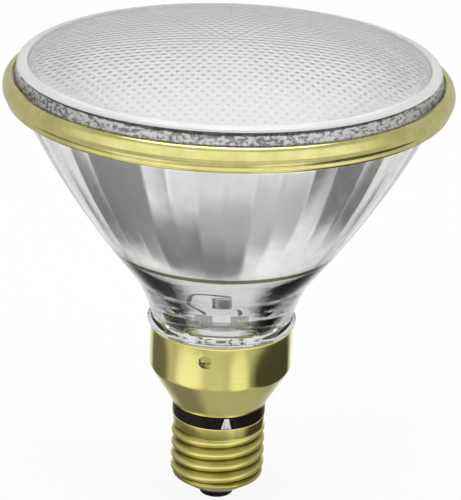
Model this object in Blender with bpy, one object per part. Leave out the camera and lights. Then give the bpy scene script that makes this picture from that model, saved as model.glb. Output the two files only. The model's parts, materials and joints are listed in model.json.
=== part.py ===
"""A sealed reflector halogen bulb with a screw base, standing on its end contact, lens up.

Lengths are in metres and angles in degrees. The origin is the middle of the flat end contact,
+Z runs up the bulb's axis to the lens, and -Y is the side that faces the viewer.
"""

import math

import bmesh
import bpy
from mathutils import Matrix, Vector

# Fits
FIT = 0.0003

# End contact and insulator
CONTACT_FACE_RADIUS = 0.0020
CONTACT_DROP = 0.0005
CONTACT_PLATE_RADIUS = 0.0032
CONTACT_PLATE_WALL = 0.0005
SOLDER_STEM_RADIUS = 0.0007
INSULATOR_NOSE_RADIUS = 0.00475
INSULATOR_NOSE_LENGTH = 0.0019
INSULATOR_NOSE_ROUND = 0.0007
INSULATOR_DEPTH = 0.0075
LEAD_BORE_RADIUS = 0.0016

# Screw shell
SHELL_LENGTH = 0.0230
SHELL_WALL = 0.00045
SHELL_CONE_HEIGHT = 0.0053
SHELL_CONE_ROUND = 0.00075
THREAD_DIAMETER = 0.0262
THREAD_DEPTH = 0.00105
THREAD_PITCH = 0.003629
THREAD_RUNOUT = 0.0012
FIRST_CREST_BELOW_TOP = 0.0056
COLLAR_HEIGHT = 0.0030

# Insulating ring between the shell and the skirt
RING_GAP = 0.0040
INSULATOR_RING_WALL = 0.0021
INSULATOR_COLLAR = 0.0027

# Side contact
SIDE_CONTACT_AZIMUTH = -80.0
SIDE_CONTACT_FOOT = 0.0034
SIDE_CONTACT_TIP = 0.0014
SIDE_CONTACT_PROUD = 0.0005
SIDE_CONTACT_ROUND = 0.0003

# Brass skirt
SKIRT_DIAMETER = 0.0392
SKIRT_LENGTH = 0.0235
SKIRT_WALL = 0.0005
SKIRT_BEND_HEIGHT = 0.0109
SKIRT_BEND_RADIUS = 0.0025
SKIRT_LIP_HEIGHT = 0.0013
RIM_TURN = 0.0004

# Lanced tongues that lock the skirt into pockets in the glass
TONGUE_COUNT = 3
TONGUE_AZIMUTH = -102.0
TONGUE_BELOW_RIM = 0.0045
TONGUE_HOLE_RADIUS = 0.0019
TONGUE_WIDTH = 0.0024
TONGUE_LENGTH = 0.0030
TONGUE_ROOT = 0.0001
TONGUE_DEPTH = 0.0012
POCKET_DEPTH = 0.0015
POCKET_MARGIN = 0.0007

# Glass reflector
NECK_WALL = 0.0028
NECK_DEPTH = 0.0115
BEAD_PROUD = 0.0010
BEAD_HEIGHT = 0.0024
HEEL_LENGTH = 0.0140
HEEL_RADIUS = 0.0240
HEEL_MIDDLE_RADIUS = 0.02124
WAIST_RADIUS = 0.0194
FLOOR_RADIUS = 0.0126
FLOOR_RISE = 0.0026
FLOOR_THICKNESS = 0.0040
CUP_STEP = 0.0006
BOWL_HEIGHT = 0.0500
BOWL_BULGE = 0.0021
BOWL_STRAIGHT_TOP = 0.00075
REFLECTOR_WALL = 0.0032
FLUTE_COUNT = 44
EXHAUST_TIP_RADIUS = 0.0022
EXHAUST_TIP_LENGTH = 0.0040

# Sealing ring round the two flanges
BULB_DIAMETER = 0.12065
BAND_HEIGHT = 0.0069
BAND_WALL = 0.0006
BAND_LIP = 0.0025
BAND_SHOULDER = 0.0011
BAND_GROOVE = 0.0011
FLANGE_SETBACK = 0.0020
FLANGE_THICKNESS = 0.0020
SEAL_THICKNESS = 0.0004

# Front lens
LENS_WALL_HEIGHT = 0.0036
LENS_WALL_DRAFT = 0.0012
LENS_DOME_RISE = 0.0074
LENS_THICKNESS = 0.0034
LENS_BORDER = 0.0025
LENS_EDGE_ROUND = 0.0007

# Ferrules through the reflector's floor
FERRULE_SPACING = 0.0160
FERRULE_RADIUS = 0.0021
FERRULE_WALL = 0.0004
FERRULE_ABOVE = 0.0016
FERRULE_BELOW = 0.0010

# Halogen capsule
CAPSULE_RADIUS = 0.0057
CAPSULE_WALL = 0.0009
CAPSULE_STANDOFF = 0.0050
PINCH_HEIGHT = 0.0065
PINCH_SIDE_WALL = 0.0012
PINCH_FACE_WALL = 0.0010
PINCH_SHOULDER = 0.0029
CAPSULE_BODY_HEIGHT = 0.0165
CAPSULE_TIP_RADIUS = 0.0012
FOIL_SPACING = 0.0044
FOIL_WIDTH = 0.0022
FOIL_HEIGHT = 0.0045
FOIL_THICKNESS = 0.0003
FILAMENT_RADIUS = 0.0011
FILAMENT_WIRE = 0.0002
FILAMENT_TURNS = 7
FILAMENT_HEIGHT = 0.0080
FILAMENT_LEAD_WIRE = 0.0003
CAPSULE_LEAD_WIRE = 0.00045
BASE_LEAD_WIRE = 0.0004

# Heights of the joints between pieces, stacked up from the end contact
INSULATOR_BASE = CONTACT_DROP
SHELL_BASE = INSULATOR_BASE + INSULATOR_NOSE_LENGTH
SHELL_TOP = SHELL_BASE + SHELL_LENGTH
SKIRT_BASE = SHELL_TOP + RING_GAP
SKIRT_TOP = SKIRT_BASE + SKIRT_LENGTH
HEEL_TOP = SKIRT_TOP + HEEL_LENGTH
FLOOR_TOP = SKIRT_TOP + FLOOR_RISE
BOWL_TOP = HEEL_TOP + BOWL_HEIGHT
BAND_BASE = BOWL_TOP + FIT
BAND_TOP = BAND_BASE + BAND_HEIGHT
LENS_SHOULDER = BAND_TOP + LENS_WALL_HEIGHT

# Radii that several pieces share
SHELL_RADIUS = THREAD_DIAMETER / 2
SKIRT_RADIUS = SKIRT_DIAMETER / 2
NECK_RADIUS = SKIRT_RADIUS - SKIRT_WALL - RIM_TURN - FIT
BAND_RADIUS = BULB_DIAMETER / 2
LIP_RADIUS = BAND_RADIUS - BAND_LIP
FLANGE_RADIUS = BAND_RADIUS - FLANGE_SETBACK
MOUTH_RADIUS = LIP_RADIUS - FIT - LENS_WALL_DRAFT - LENS_EDGE_ROUND
FERRULE_HOLE_RADIUS = FERRULE_RADIUS + FIT

# How finely round pieces are cut
BAND_COLUMNS = 44
SKIRT_COLUMNS = 32
SHELL_COLUMNS = 28
SMALL_COLUMNS = 16
HOLE_COLUMNS = 12
BOWL_ROWS = 7
CUP_ROWS = 3
FILAMENT_POINTS_PER_TURN = 8
THREAD_ROWS_PER_TURN = 6

# Sections rolled or pressed to a curve, each point as shares of a depth and of a height
BAND_SHOULDER_SECTION = ((1.0, 0.965), (0.25, 0.78), (0.0, 0.52))
BAND_GROOVE_SECTION = ((0.3, 0.33), (1.0, 0.24), (0.9, 0.10), (1.5, 0.0))
BEAD_SECTION = ((0.7, 0.65), (1.0, 0.35), (0.6, 0.0))

# The rows of the inner bowl lie closer together towards the heel
BOWL_ROW_GRADING = 1.4


def clear_scene():
    """Removes whatever the file already holds."""
    for existing in list(bpy.data.objects):
        bpy.data.objects.remove(existing, do_unlink=True)


def finish(name, colour, roughness, metallic=0.0, transmission=0.0):
    """A plain Principled material."""
    made = bpy.data.materials.new(name)
    made.use_nodes = True
    shader = made.node_tree.nodes["Principled BSDF"]
    shader.inputs["Base Color"].default_value = (*colour, 1.0)
    shader.inputs["Roughness"].default_value = roughness
    shader.inputs["Metallic"].default_value = metallic
    shader.inputs["Transmission Weight"].default_value = transmission
    return made


def add_object(name, mesh, material):
    """Puts mesh or curve data in the scene as one named piece."""
    mesh.materials.append(material)
    made = bpy.data.objects.new(name, mesh)
    bpy.context.scene.collection.objects.link(made)
    return made


def mesh_from(name, shape):
    """Closes a bmesh off as smooth-shaded mesh data, with its faces pointing out."""
    bmesh.ops.remove_doubles(shape, verts=shape.verts, dist=1e-7)
    bmesh.ops.recalc_face_normals(shape, faces=shape.faces)
    mesh = bpy.data.meshes.new(name)
    shape.to_mesh(mesh)
    shape.free()
    mesh.shade_smooth()
    mesh.set_sharp_from_angle(angle=math.radians(35))
    return mesh


def arc(centre, radius, start, end, steps):
    """Points (radius, height) along an arc, its angles in degrees from the outward direction."""
    points = []
    for step in range(steps + 1):
        angle = math.radians(start + (end - start) * step / steps)
        points.append((centre[0] + radius * math.cos(angle), centre[1] + radius * math.sin(angle)))
    return points


def offset(path, distance):
    """The path moved sideways, to the left of the way it runs, with mitred corners."""
    points = [Vector(point) for point in path]
    normals = []
    for here, there in zip(points, points[1:]):
        along = (there - here).normalized()
        normals.append(Vector((-along.y, along.x)))
    moved = []
    for index, point in enumerate(points):
        before = normals[max(index - 1, 0)]
        after = normals[min(index, len(normals) - 1)]
        mitre = (before + after).normalized()
        moved.append(tuple(point + mitre * (distance / max(mitre.dot(after), 0.5))))
    return moved


def spun(profile, columns):
    """A bmesh turned from a closed (radius, height) profile. Points at radius 0 stay on the axis."""
    shape = bmesh.new()
    verts = [shape.verts.new((radius, 0.0, height)) for radius, height in profile]
    for here, there in zip(verts, verts[1:] + verts[:1]):
        if here.co.x > 0 or there.co.x > 0:
            shape.edges.new((here, there))
    bmesh.ops.spin(
        shape,
        geom=shape.verts[:] + shape.edges[:],
        cent=(0, 0, 0),
        axis=(0, 0, 1),
        angle=2 * math.pi,
        steps=columns,
        use_merge=True,
    )
    return shape


def turned(name, profile, columns, material):
    """An object turned about the bulb's axis."""
    return add_object(name, mesh_from(name, spun(profile, columns)), material)


def helper(name, shape):
    """A cutter or a piece to be joined, which the build leaves out."""
    mesh = bpy.data.meshes.new(name)
    shape.to_mesh(mesh)
    shape.free()
    made = bpy.data.objects.new(name, mesh)
    made.hide_render = True
    made.display_type = "WIRE"
    bpy.context.scene.collection.objects.link(made)
    return made


def combine(target, other, operation):
    """Cuts a helper out of a piece, or joins it on."""
    modifier = target.modifiers.new(f"{operation.lower()} {other.name}", "BOOLEAN")
    modifier.operation = operation
    modifier.object = other
    modifier.solver = "EXACT"


def radial(azimuth, radius, height):
    """A frame at this place on a turned surface: its X runs along it, its Y points in, its Z is up."""
    turn = Matrix.Rotation(math.radians(azimuth + 90.0), 4, "Z")
    return turn @ Matrix.Translation((0.0, -radius, height))


def smooth_route(points, steps):
    """Points read from a smooth curve through the given ones."""
    knots = [Vector(point) for point in points]
    knots = [2 * knots[0] - knots[1]] + knots + [2 * knots[-1] - knots[-2]]
    route = []
    for a, b, c, d in zip(knots, knots[1:], knots[2:], knots[3:]):
        for step in range(steps):
            t = step / steps
            slope = (c - a) * t
            bend = (2 * a - 5 * b + 4 * c - d) * t**2
            twist = (3 * b - a - 3 * c + d) * t**3
            route.append(0.5 * (2 * b + slope + bend + twist))
    route.append(knots[-2])
    return route


def wire(name, route, radius, material, sides=1):
    """A round wire along a route, with flat ends."""
    curve = bpy.data.curves.new(name, "CURVE")
    curve.dimensions = "3D"
    curve.bevel_depth = radius
    curve.bevel_resolution = sides
    curve.use_fill_caps = True
    spline = curve.splines.new("POLY")
    spline.points.add(len(route) - 1)
    for point, place in zip(spline.points, route):
        point.co = (*place, 1.0)
    return add_object(name, curve, material)


def shell_path():
    """The outer side of the screw shell, from its top edge down to the hole round the insulator."""
    edge = INSULATOR_NOSE_RADIUS + FIT + SHELL_WALL
    collar = SHELL_RADIUS - THREAD_DEPTH / 4
    cone_top = SHELL_BASE + SHELL_CONE_HEIGHT
    thread_top = SHELL_TOP - COLLAR_HEIGHT
    path = [(collar, SHELL_TOP), (collar, SHELL_TOP - COLLAR_HEIGHT / 2)]
    rows = math.ceil((thread_top - cone_top) / THREAD_PITCH * THREAD_ROWS_PER_TURN)
    for row in range(rows + 1):
        path.append((collar, thread_top + (cone_top - thread_top) * row / rows))
    # The cone starts with a short rounding
    path.append((collar - SHELL_CONE_ROUND / 2, cone_top - SHELL_CONE_ROUND))
    path.append((edge, SHELL_BASE))
    return path


def thread_wave(angle, height):
    """How far the rolled thread moves the shell in or out here: right-handed, fading out at its ends."""
    low = SHELL_BASE + SHELL_CONE_HEIGHT - THREAD_RUNOUT / 2
    high = SHELL_TOP - COLLAR_HEIGHT + THREAD_RUNOUT / 2
    fade = min((height - low) / THREAD_RUNOUT, (high - height) / THREAD_RUNOUT, 1.0)
    if fade <= 0:
        return 0.0
    # The highest crest passes the -X side this far below the shell's top edge
    phase = (height - SHELL_TOP + FIRST_CREST_BELOW_TOP) / THREAD_PITCH - (angle - math.pi) / (2 * math.pi)
    wave = math.cos(2 * math.pi * phase) * THREAD_DEPTH / 2 - THREAD_DEPTH / 4
    return wave * fade


def make_screw_shell(material):
    path = shell_path()
    inner = offset(path, -SHELL_WALL)
    inner[0] = (inner[0][0], path[0][1])
    inner[-1] = (path[-1][0] - SHELL_WALL, path[-1][1])
    shape = spun(path + inner[::-1], SHELL_COLUMNS)
    for vert in shape.verts:
        across = math.hypot(vert.co.x, vert.co.y)
        angle = math.atan2(vert.co.y, vert.co.x)
        scale = (across + thread_wave(angle, vert.co.z)) / across
        vert.co.x *= scale
        vert.co.y *= scale
    return add_object("screw_shell", mesh_from("screw_shell", shape), material)


def make_base_insulator(material):
    """The black glass plug that fills the shell's cone and carries the end contact."""
    recess = CONTACT_PLATE_RADIUS + FIT
    recess_top = INSULATOR_BASE + CONTACT_PLATE_WALL + FIT
    cone = offset(shell_path()[-2:], -SHELL_WALL - FIT)
    body_radius = SHELL_RADIUS - THREAD_DEPTH - SHELL_WALL - FIT * 2
    cone_slope = (cone[0][0] - cone[1][0]) / (cone[0][1] - cone[1][1])
    foot_height = cone[1][1] + (INSULATOR_NOSE_RADIUS - cone[1][0]) / cone_slope
    shoulder_height = cone[1][1] + (body_radius - cone[1][0]) / cone_slope
    top = max(SHELL_BASE + INSULATOR_DEPTH, shoulder_height + FIT)
    profile = [
        (LEAD_BORE_RADIUS, recess_top),
        (recess, recess_top),
        (recess, INSULATOR_BASE),
        (INSULATOR_NOSE_RADIUS - INSULATOR_NOSE_ROUND, INSULATOR_BASE),
        (INSULATOR_NOSE_RADIUS, INSULATOR_BASE + INSULATOR_NOSE_ROUND),
        (INSULATOR_NOSE_RADIUS, foot_height),
        (body_radius, shoulder_height),
        (body_radius, top),
        (LEAD_BORE_RADIUS, top),
    ]
    return turned("base_insulator", profile, SMALL_COLUMNS, material)


def make_end_contact(plate_material, solder_material):
    """The contact plate in the insulator's recess, and the solder button whose face is the origin."""
    plate_base = INSULATOR_BASE
    plate_top = plate_base + CONTACT_PLATE_WALL
    hole = SOLDER_STEM_RADIUS + FIT
    plate = [
        (hole, plate_base),
        (CONTACT_PLATE_RADIUS, plate_base),
        (CONTACT_PLATE_RADIUS, plate_top),
        (hole, plate_top),
    ]
    turned("contact_plate", plate, SMALL_COLUMNS, plate_material)
    button_top = plate_base - FIT
    button = [
        (0.0, 0.0),
        (CONTACT_FACE_RADIUS, 0.0),
        (CONTACT_FACE_RADIUS + button_top, button_top * 0.5),
        (CONTACT_FACE_RADIUS, button_top),
        (SOLDER_STEM_RADIUS, button_top),
        (SOLDER_STEM_RADIUS, plate_top + FIT),
        (0.0, plate_top + FIT * 2),
    ]
    turned("contact_solder", button, SMALL_COLUMNS, solder_material)


def side_contact_wedge(grow, inner_radius, outer_radius, base, top):
    """A block on the side contact's azimuth, wide at its foot and narrow at its tip."""
    shape = bmesh.new()
    bmesh.ops.create_cube(shape, size=1.0)
    for vert in shape.verts:
        width = SIDE_CONTACT_FOOT if vert.co.z < 0 else SIDE_CONTACT_TIP
        vert.co.x *= width + 2 * grow
        vert.co.y = -outer_radius if vert.co.y < 0 else -inner_radius
        vert.co.z = base if vert.co.z < 0 else top
    turn = Matrix.Rotation(math.radians(SIDE_CONTACT_AZIMUTH + 90.0), 4, "Z")
    shape.transform(turn)
    return shape


def make_insulating_ring(material):
    """The black ring between the two brass pieces, with a collar up into one and down into the other."""
    face = SHELL_RADIUS - FIT / 2
    base = SHELL_TOP + FIT
    top = SKIRT_BASE - FIT
    collar = SHELL_RADIUS - THREAD_DEPTH / 4 - SHELL_WALL - FIT
    bore = collar - INSULATOR_RING_WALL + FIT
    profile = [
        (collar, base - INSULATOR_COLLAR / 2),
        (collar, base),
        (face, base),
        (face, top),
        (collar, top),
        (collar, top + INSULATOR_COLLAR),
        (bore, top + INSULATOR_COLLAR),
        (bore, base - INSULATOR_COLLAR / 2),
    ]
    ring = turned("insulating_ring", profile, SHELL_COLUMNS, material)
    notch = side_contact_wedge(FIT, bore - SHELL_WALL, face + INSULATOR_RING_WALL, base - FIT, top + FIT)
    combine(ring, helper("ring_notch_cutter", notch), "DIFFERENCE")
    return ring


def make_side_solder(material):
    """The run of solder in the ring's notch, which joins the side lead to the shell's top edge."""
    inner = SHELL_RADIUS - INSULATOR_RING_WALL + FIT
    outer = SHELL_RADIUS + SIDE_CONTACT_PROUD
    shape = side_contact_wedge(0.0, inner, outer, SHELL_TOP + FIT, SKIRT_BASE - FIT)
    bmesh.ops.bevel(
        shape,
        geom=shape.edges[:],
        offset=SIDE_CONTACT_ROUND,
        offset_type="OFFSET",
        segments=1,
        profile=0.5,
        affect="EDGES",
        material=-1,
    )
    return add_object("side_solder", mesh_from("side_solder", shape), material)


def skirt_path():
    """The outer side of the brass skirt, from its turned-in rim down to its lip."""
    bend_height = SKIRT_BASE + SKIRT_BEND_HEIGHT
    lip_top = SKIRT_BASE + SKIRT_LIP_HEIGHT
    lip_radius = SHELL_RADIUS + FIT / 2
    cone_end = (lip_radius + SKIRT_LIP_HEIGHT / 3, lip_top)
    cone = Vector(cone_end) - Vector((SKIRT_RADIUS, bend_height))
    cone_turn = 90.0 - math.degrees(math.atan2(-cone.y, -cone.x))
    tangent = SKIRT_BEND_RADIUS * math.tan(math.radians(cone_turn / 2))
    rim = RIM_TURN * 2
    path = arc((SKIRT_RADIUS - rim, SKIRT_TOP - rim), rim, 60.0, 0.0, 2)
    path[0] = (path[0][0], SKIRT_TOP)
    bend_centre = (SKIRT_RADIUS - SKIRT_BEND_RADIUS, bend_height + tangent)
    path += arc(bend_centre, SKIRT_BEND_RADIUS, 0.0, -cone_turn, 4)
    path.append(cone_end)
    path.append((lip_radius, lip_top - SKIRT_LIP_HEIGHT / 2))
    path.append((lip_radius, SKIRT_BASE))
    return path


def tongue_azimuths():
    """The directions of the locking tongues, evenly round the skirt."""
    return [TONGUE_AZIMUTH + 360.0 * index / TONGUE_COUNT for index in range(TONGUE_COUNT)]


def rod(radius, length):
    """A short upright rod about the origin, to cut a hole with."""
    shape = bmesh.new()
    bmesh.ops.create_cone(
        shape,
        segments=HOLE_COLUMNS,
        radius1=radius,
        radius2=radius,
        depth=length,
        cap_ends=True,
    )
    return shape


def wall_cutter(radius, length, frame):
    """A rod through a wall, pointing along the frame's Y."""
    shape = rod(radius, length)
    shape.transform(frame @ Matrix.Rotation(math.radians(90.0), 4, "X"))
    return shape


def make_skirt(material):
    """The brass skirt, with holes that each leave a tongue bent in under the glass bead."""
    path = skirt_path()
    inner = offset(path, -SKIRT_WALL)
    inner[-1] = (inner[-1][0], SKIRT_BASE)
    skirt = turned("skirt", path + inner[::-1], SKIRT_COLUMNS, material)
    height = SKIRT_TOP - TONGUE_BELOW_RIM
    wall_middle = SKIRT_RADIUS - SKIRT_WALL / 2
    for index, azimuth in enumerate(tongue_azimuths()):
        place = radial(azimuth, wall_middle, height)
        hole = wall_cutter(TONGUE_HOLE_RADIUS, SKIRT_WALL * 8, place)
        combine(skirt, helper(f"tongue_hole_cutter_{index}", hole), "DIFFERENCE")
        tongue = bmesh.new()
        bmesh.ops.create_cube(tongue, size=1.0)
        hinge = Matrix.Translation((0.0, 0.0, TONGUE_HOLE_RADIUS + TONGUE_ROOT))
        tilt = Matrix.Rotation(math.atan2(TONGUE_DEPTH, TONGUE_LENGTH), 4, "X")
        drop = Matrix.Translation((0.0, 0.0, -TONGUE_LENGTH / 2))
        size = Matrix.Diagonal((TONGUE_WIDTH, SKIRT_WALL * 0.9, TONGUE_LENGTH, 1.0))
        tongue.transform(place @ hinge @ tilt @ drop @ size)
        combine(skirt, helper(f"tongue_{index}", tongue), "UNION")
    return skirt


def bowl_radius(share):
    """The reflector's outer radius, from its heel at 0 to its mouth at 1."""
    straight = HEEL_RADIUS + (MOUTH_RADIUS - HEEL_RADIUS) * share
    return straight + 4 * BOWL_BULGE * share * (1 - share)


def parabola(low, high, share):
    """A point on the paraboloid through two (radius, height) points."""
    radius = math.sqrt(low[0] ** 2 + (high[0] ** 2 - low[0] ** 2) * share)
    return radius, low[1] + (high[1] - low[1]) * share


def reflector_profile():
    """The section of the glass: flange, bowl, heel, bead, neck, floor, silvered cup and fluted bowl."""
    flange_base = BAND_BASE + BAND_WALL + FIT
    flange_top = flange_base + FLANGE_THICKNESS
    throat = LIP_RADIUS - FIT
    profile = [(FLANGE_RADIUS, flange_top), (FLANGE_RADIUS, flange_base), (throat - FIT, flange_base)]
    profile.append((throat - FIT, BAND_BASE))
    trim = 1 - BOWL_STRAIGHT_TOP / BOWL_HEIGHT
    for row in range(BOWL_ROWS, -1, -1):
        share = row / BOWL_ROWS * trim
        profile.append((bowl_radius(share), HEEL_TOP + BOWL_HEIGHT * share))
    bead_base = SKIRT_TOP + FIT
    waist_height = bead_base + BEAD_HEIGHT
    profile.append((HEEL_MIDDLE_RADIUS, (waist_height + HEEL_TOP) / 2))
    profile.append((WAIST_RADIUS, waist_height))
    for proud, height in BEAD_SECTION:
        profile.append((SKIRT_RADIUS + BEAD_PROUD * proud, bead_base + BEAD_HEIGHT * height))
    profile.append((NECK_RADIUS, bead_base))
    neck_base = SKIRT_TOP - NECK_DEPTH
    neck_bore = NECK_RADIUS - NECK_WALL
    floor_base = FLOOR_TOP - FLOOR_THICKNESS
    tip_base = floor_base - EXHAUST_TIP_LENGTH
    profile += [
        (NECK_RADIUS, neck_base),
        (neck_bore, neck_base),
        (neck_bore, floor_base),
        (EXHAUST_TIP_RADIUS, floor_base),
        (EXHAUST_TIP_RADIUS, tip_base + EXHAUST_TIP_RADIUS),
        (EXHAUST_TIP_RADIUS * 0.5, tip_base),
        (0.0, tip_base),
        (0.0, FLOOR_TOP),
        (FLOOR_RADIUS, FLOOR_TOP),
    ]
    bowl_heel = (HEEL_RADIUS - REFLECTOR_WALL, HEEL_TOP)
    bowl_mouth = (MOUTH_RADIUS - REFLECTOR_WALL, BOWL_TOP)
    cup_floor = (FLOOR_RADIUS, FLOOR_TOP)
    cup_rim = (bowl_heel[0] - CUP_STEP, HEEL_TOP - CUP_STEP)
    for row in range(1, CUP_ROWS + 1):
        profile.append(parabola(cup_floor, cup_rim, row / CUP_ROWS))
    for row in range(BOWL_ROWS + 1):
        profile.append(parabola(bowl_heel, bowl_mouth, (row / BOWL_ROWS) ** BOWL_ROW_GRADING))
    profile.append((bowl_mouth[0] + FIT * 2, flange_top))
    return profile


def make_reflector(material):
    """The pressed glass bowl. Each of its columns is one flat flute of the silvered inner face."""
    reflector = turned("reflector", reflector_profile(), FLUTE_COUNT, material)
    floor_middle = FLOOR_TOP - FLOOR_THICKNESS / 2
    for side in (-1, 1):
        hole = rod(FERRULE_HOLE_RADIUS, FLOOR_THICKNESS * 2)
        hole.transform(Matrix.Translation((side * FERRULE_SPACING / 2, 0.0, floor_middle)))
        combine(reflector, helper(f"ferrule_hole_cutter_{side}", hole), "DIFFERENCE")
    for index, azimuth in enumerate(tongue_azimuths()):
        place = radial(azimuth, NECK_RADIUS, SKIRT_TOP - TONGUE_BELOW_RIM)
        pocket = wall_cutter(TONGUE_HOLE_RADIUS + POCKET_MARGIN, POCKET_DEPTH * 2, place)
        combine(reflector, helper(f"pocket_cutter_{index}", pocket), "DIFFERENCE")
    return reflector


def make_sealing_ring(material):
    """The rolled gold band, a channel that grips the lens flange and the reflector flange."""
    path = [(LIP_RADIUS, BAND_TOP)]
    for depth, section in ((BAND_SHOULDER, BAND_SHOULDER_SECTION), (BAND_GROOVE, BAND_GROOVE_SECTION)):
        for inset, height in section:
            path.append((BAND_RADIUS - depth * inset, BAND_BASE + BAND_HEIGHT * height))
    path.append((LIP_RADIUS, BAND_BASE))
    inner = offset(path, -BAND_WALL)
    return turned("sealing_ring", path + inner[::-1], BAND_COLUMNS, material)


def seal_heights():
    """Where the flange seal starts, and where the lens flange starts above it."""
    seal_base = BAND_BASE + BAND_WALL + FIT + FLANGE_THICKNESS + FIT
    return seal_base, seal_base + SEAL_THICKNESS + FIT


def make_flange_seal(material):
    """The cement between the two glass flanges."""
    base = seal_heights()[0]
    inner = MOUTH_RADIUS - REFLECTOR_WALL + FIT * 3
    outer = FLANGE_RADIUS - FIT
    top = base + SEAL_THICKNESS
    profile = [(inner, base), (outer, base), (outer, top), (inner, top)]
    return turned("flange_seal", profile, BAND_COLUMNS, material)


def make_front_lens(material):
    """The domed cover glass, with a plain border, a drafted wall and a flange held by the ring."""
    flange_base = seal_heights()[1]
    flange_top = BAND_TOP - BAND_WALL - FIT
    wall_foot = LIP_RADIUS - FIT
    wall_top = wall_foot - LENS_WALL_DRAFT
    border_inner = wall_top - LENS_BORDER
    border_rise = LENS_BORDER * 0.12
    dome_rise = LENS_DOME_RISE - border_rise
    sphere = (border_inner**2 + dome_rise**2) / (2 * dome_rise)
    top = LENS_SHOULDER + LENS_DOME_RISE
    half_angle = math.degrees(math.asin(border_inner / sphere))
    outer_dome = arc((0.0, top - sphere), sphere, 90.0, 90.0 - half_angle, 6)
    outer_dome[0] = (0.0, top)
    inner_radius = border_inner - LENS_THICKNESS * 0.35
    inner_angle = math.degrees(math.asin(inner_radius / (sphere - LENS_THICKNESS)))
    inner_dome = arc((0.0, top - sphere), sphere - LENS_THICKNESS, 90.0 - inner_angle, 90.0, 5)
    inner_dome[-1] = (0.0, top - LENS_THICKNESS)
    foot = MOUTH_RADIUS - REFLECTOR_WALL + FIT * 3
    profile = outer_dome + [
        (wall_top - LENS_EDGE_ROUND, LENS_SHOULDER),
        (wall_top, LENS_SHOULDER - LENS_EDGE_ROUND),
        (wall_foot, BAND_TOP - BAND_WALL),
        (wall_foot, flange_top),
        (FLANGE_RADIUS, flange_top),
        (FLANGE_RADIUS, flange_base),
        (foot, flange_base),
        (foot, inner_dome[0][1] - LENS_THICKNESS * 0.4),
    ]
    return turned("front_lens", profile + inner_dome, BAND_COLUMNS, material)


def make_ferrules(material):
    """Two metal thimbles sealed through the glass floor, closed above and open below."""
    top = FLOOR_TOP + FERRULE_ABOVE
    base = FLOOR_TOP - FLOOR_THICKNESS - FERRULE_BELOW
    bore = FERRULE_RADIUS - FERRULE_WALL
    profile = [
        (0.0, top),
        (FERRULE_RADIUS - FERRULE_WALL, top),
        (FERRULE_RADIUS, top - FERRULE_WALL),
        (FERRULE_RADIUS, base),
        (bore, base),
        (bore, top - FERRULE_WALL),
        (0.0, top - FERRULE_WALL),
    ]
    for name, side in (("ferrule_left", -1), ("ferrule_right", 1)):
        made = turned(name, profile, HOLE_COLUMNS, material)
        made.location.x = side * FERRULE_SPACING / 2


def capsule_base():
    """Height of the lower edge of the capsule's pinch."""
    return FLOOR_TOP + CAPSULE_STANDOFF


def make_capsule_envelope(material):
    """The quartz capsule: a tube with a domed and tipped top, flattened at its foot into a pinch."""
    base = capsule_base()
    pinch_top = base + PINCH_HEIGHT
    shoulder = pinch_top + PINCH_SHOULDER
    body_top = pinch_top + CAPSULE_BODY_HEIGHT
    bore = CAPSULE_RADIUS - CAPSULE_WALL
    dome = arc((0.0, body_top), CAPSULE_RADIUS, 0.0, 65.0, 4)
    tip = body_top + CAPSULE_RADIUS + CAPSULE_TIP_RADIUS * 1.4
    inner_dome = arc((0.0, body_top), bore, 90.0, 0.0, 4)
    inner_dome[0] = (0.0, body_top + bore)
    profile = [(CAPSULE_RADIUS, base), (CAPSULE_RADIUS, pinch_top), (CAPSULE_RADIUS, shoulder)]
    profile += dome
    profile += [(CAPSULE_TIP_RADIUS, tip - CAPSULE_TIP_RADIUS), (CAPSULE_TIP_RADIUS * 0.5, tip), (0.0, tip)]
    profile += inner_dome
    profile += [(bore, shoulder), (bore, pinch_top), (bore, base)]
    shape = spun(profile, SMALL_COLUMNS)
    middle = (CAPSULE_RADIUS + bore) / 2
    slot_wide = (FOIL_SPACING + FOIL_WIDTH) / 2 + FIT * 2
    slot_thick = CAPSULE_LEAD_WIRE + FIT / 2
    for vert in shape.verts:
        if vert.co.z > pinch_top + FIT / 2:
            continue
        across = math.hypot(vert.co.x, vert.co.y)
        outside = across > middle
        wide = slot_wide + (PINCH_SIDE_WALL if outside else 0.0)
        thick = slot_thick + (PINCH_FACE_WALL if outside else 0.0)
        # A squared oval, so that the pinch has flat sides
        vert.co.x = wide * math.copysign(math.sqrt(abs(vert.co.x / across)), vert.co.x)
        vert.co.y = thick * math.copysign(math.sqrt(abs(vert.co.y / across)), vert.co.y)
    return add_object("capsule_envelope", mesh_from("capsule_envelope", shape), material)


def make_foils(material):
    """The two molybdenum foils in the pinch."""
    middle = capsule_base() + PINCH_HEIGHT / 2
    for name, side in (("foil_left", -1), ("foil_right", 1)):
        shape = bmesh.new()
        bmesh.ops.create_cube(shape, size=1.0)
        shape.transform(Matrix.Diagonal((FOIL_WIDTH, FOIL_THICKNESS, FOIL_HEIGHT, 1.0)))
        made = add_object(name, mesh_from(name, shape), material)
        made.location = (side * FOIL_SPACING / 2, 0.0, middle)


def filament_middle():
    """Height of the middle of the coil."""
    return capsule_base() + PINCH_HEIGHT + PINCH_SHOULDER + FILAMENT_HEIGHT / 2


def make_filament(material):
    """The tungsten coil, wound along the bulb's axis."""
    low = filament_middle() - FILAMENT_HEIGHT / 2
    points = []
    for step in range(FILAMENT_TURNS * FILAMENT_POINTS_PER_TURN + 1):
        angle = 2 * math.pi * step / FILAMENT_POINTS_PER_TURN
        height = low + FILAMENT_HEIGHT * step / (FILAMENT_TURNS * FILAMENT_POINTS_PER_TURN)
        points.append((FILAMENT_RADIUS * math.cos(angle), FILAMENT_RADIUS * math.sin(angle), height))
    return wire("filament", points, FILAMENT_WIRE, material, sides=0)


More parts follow.
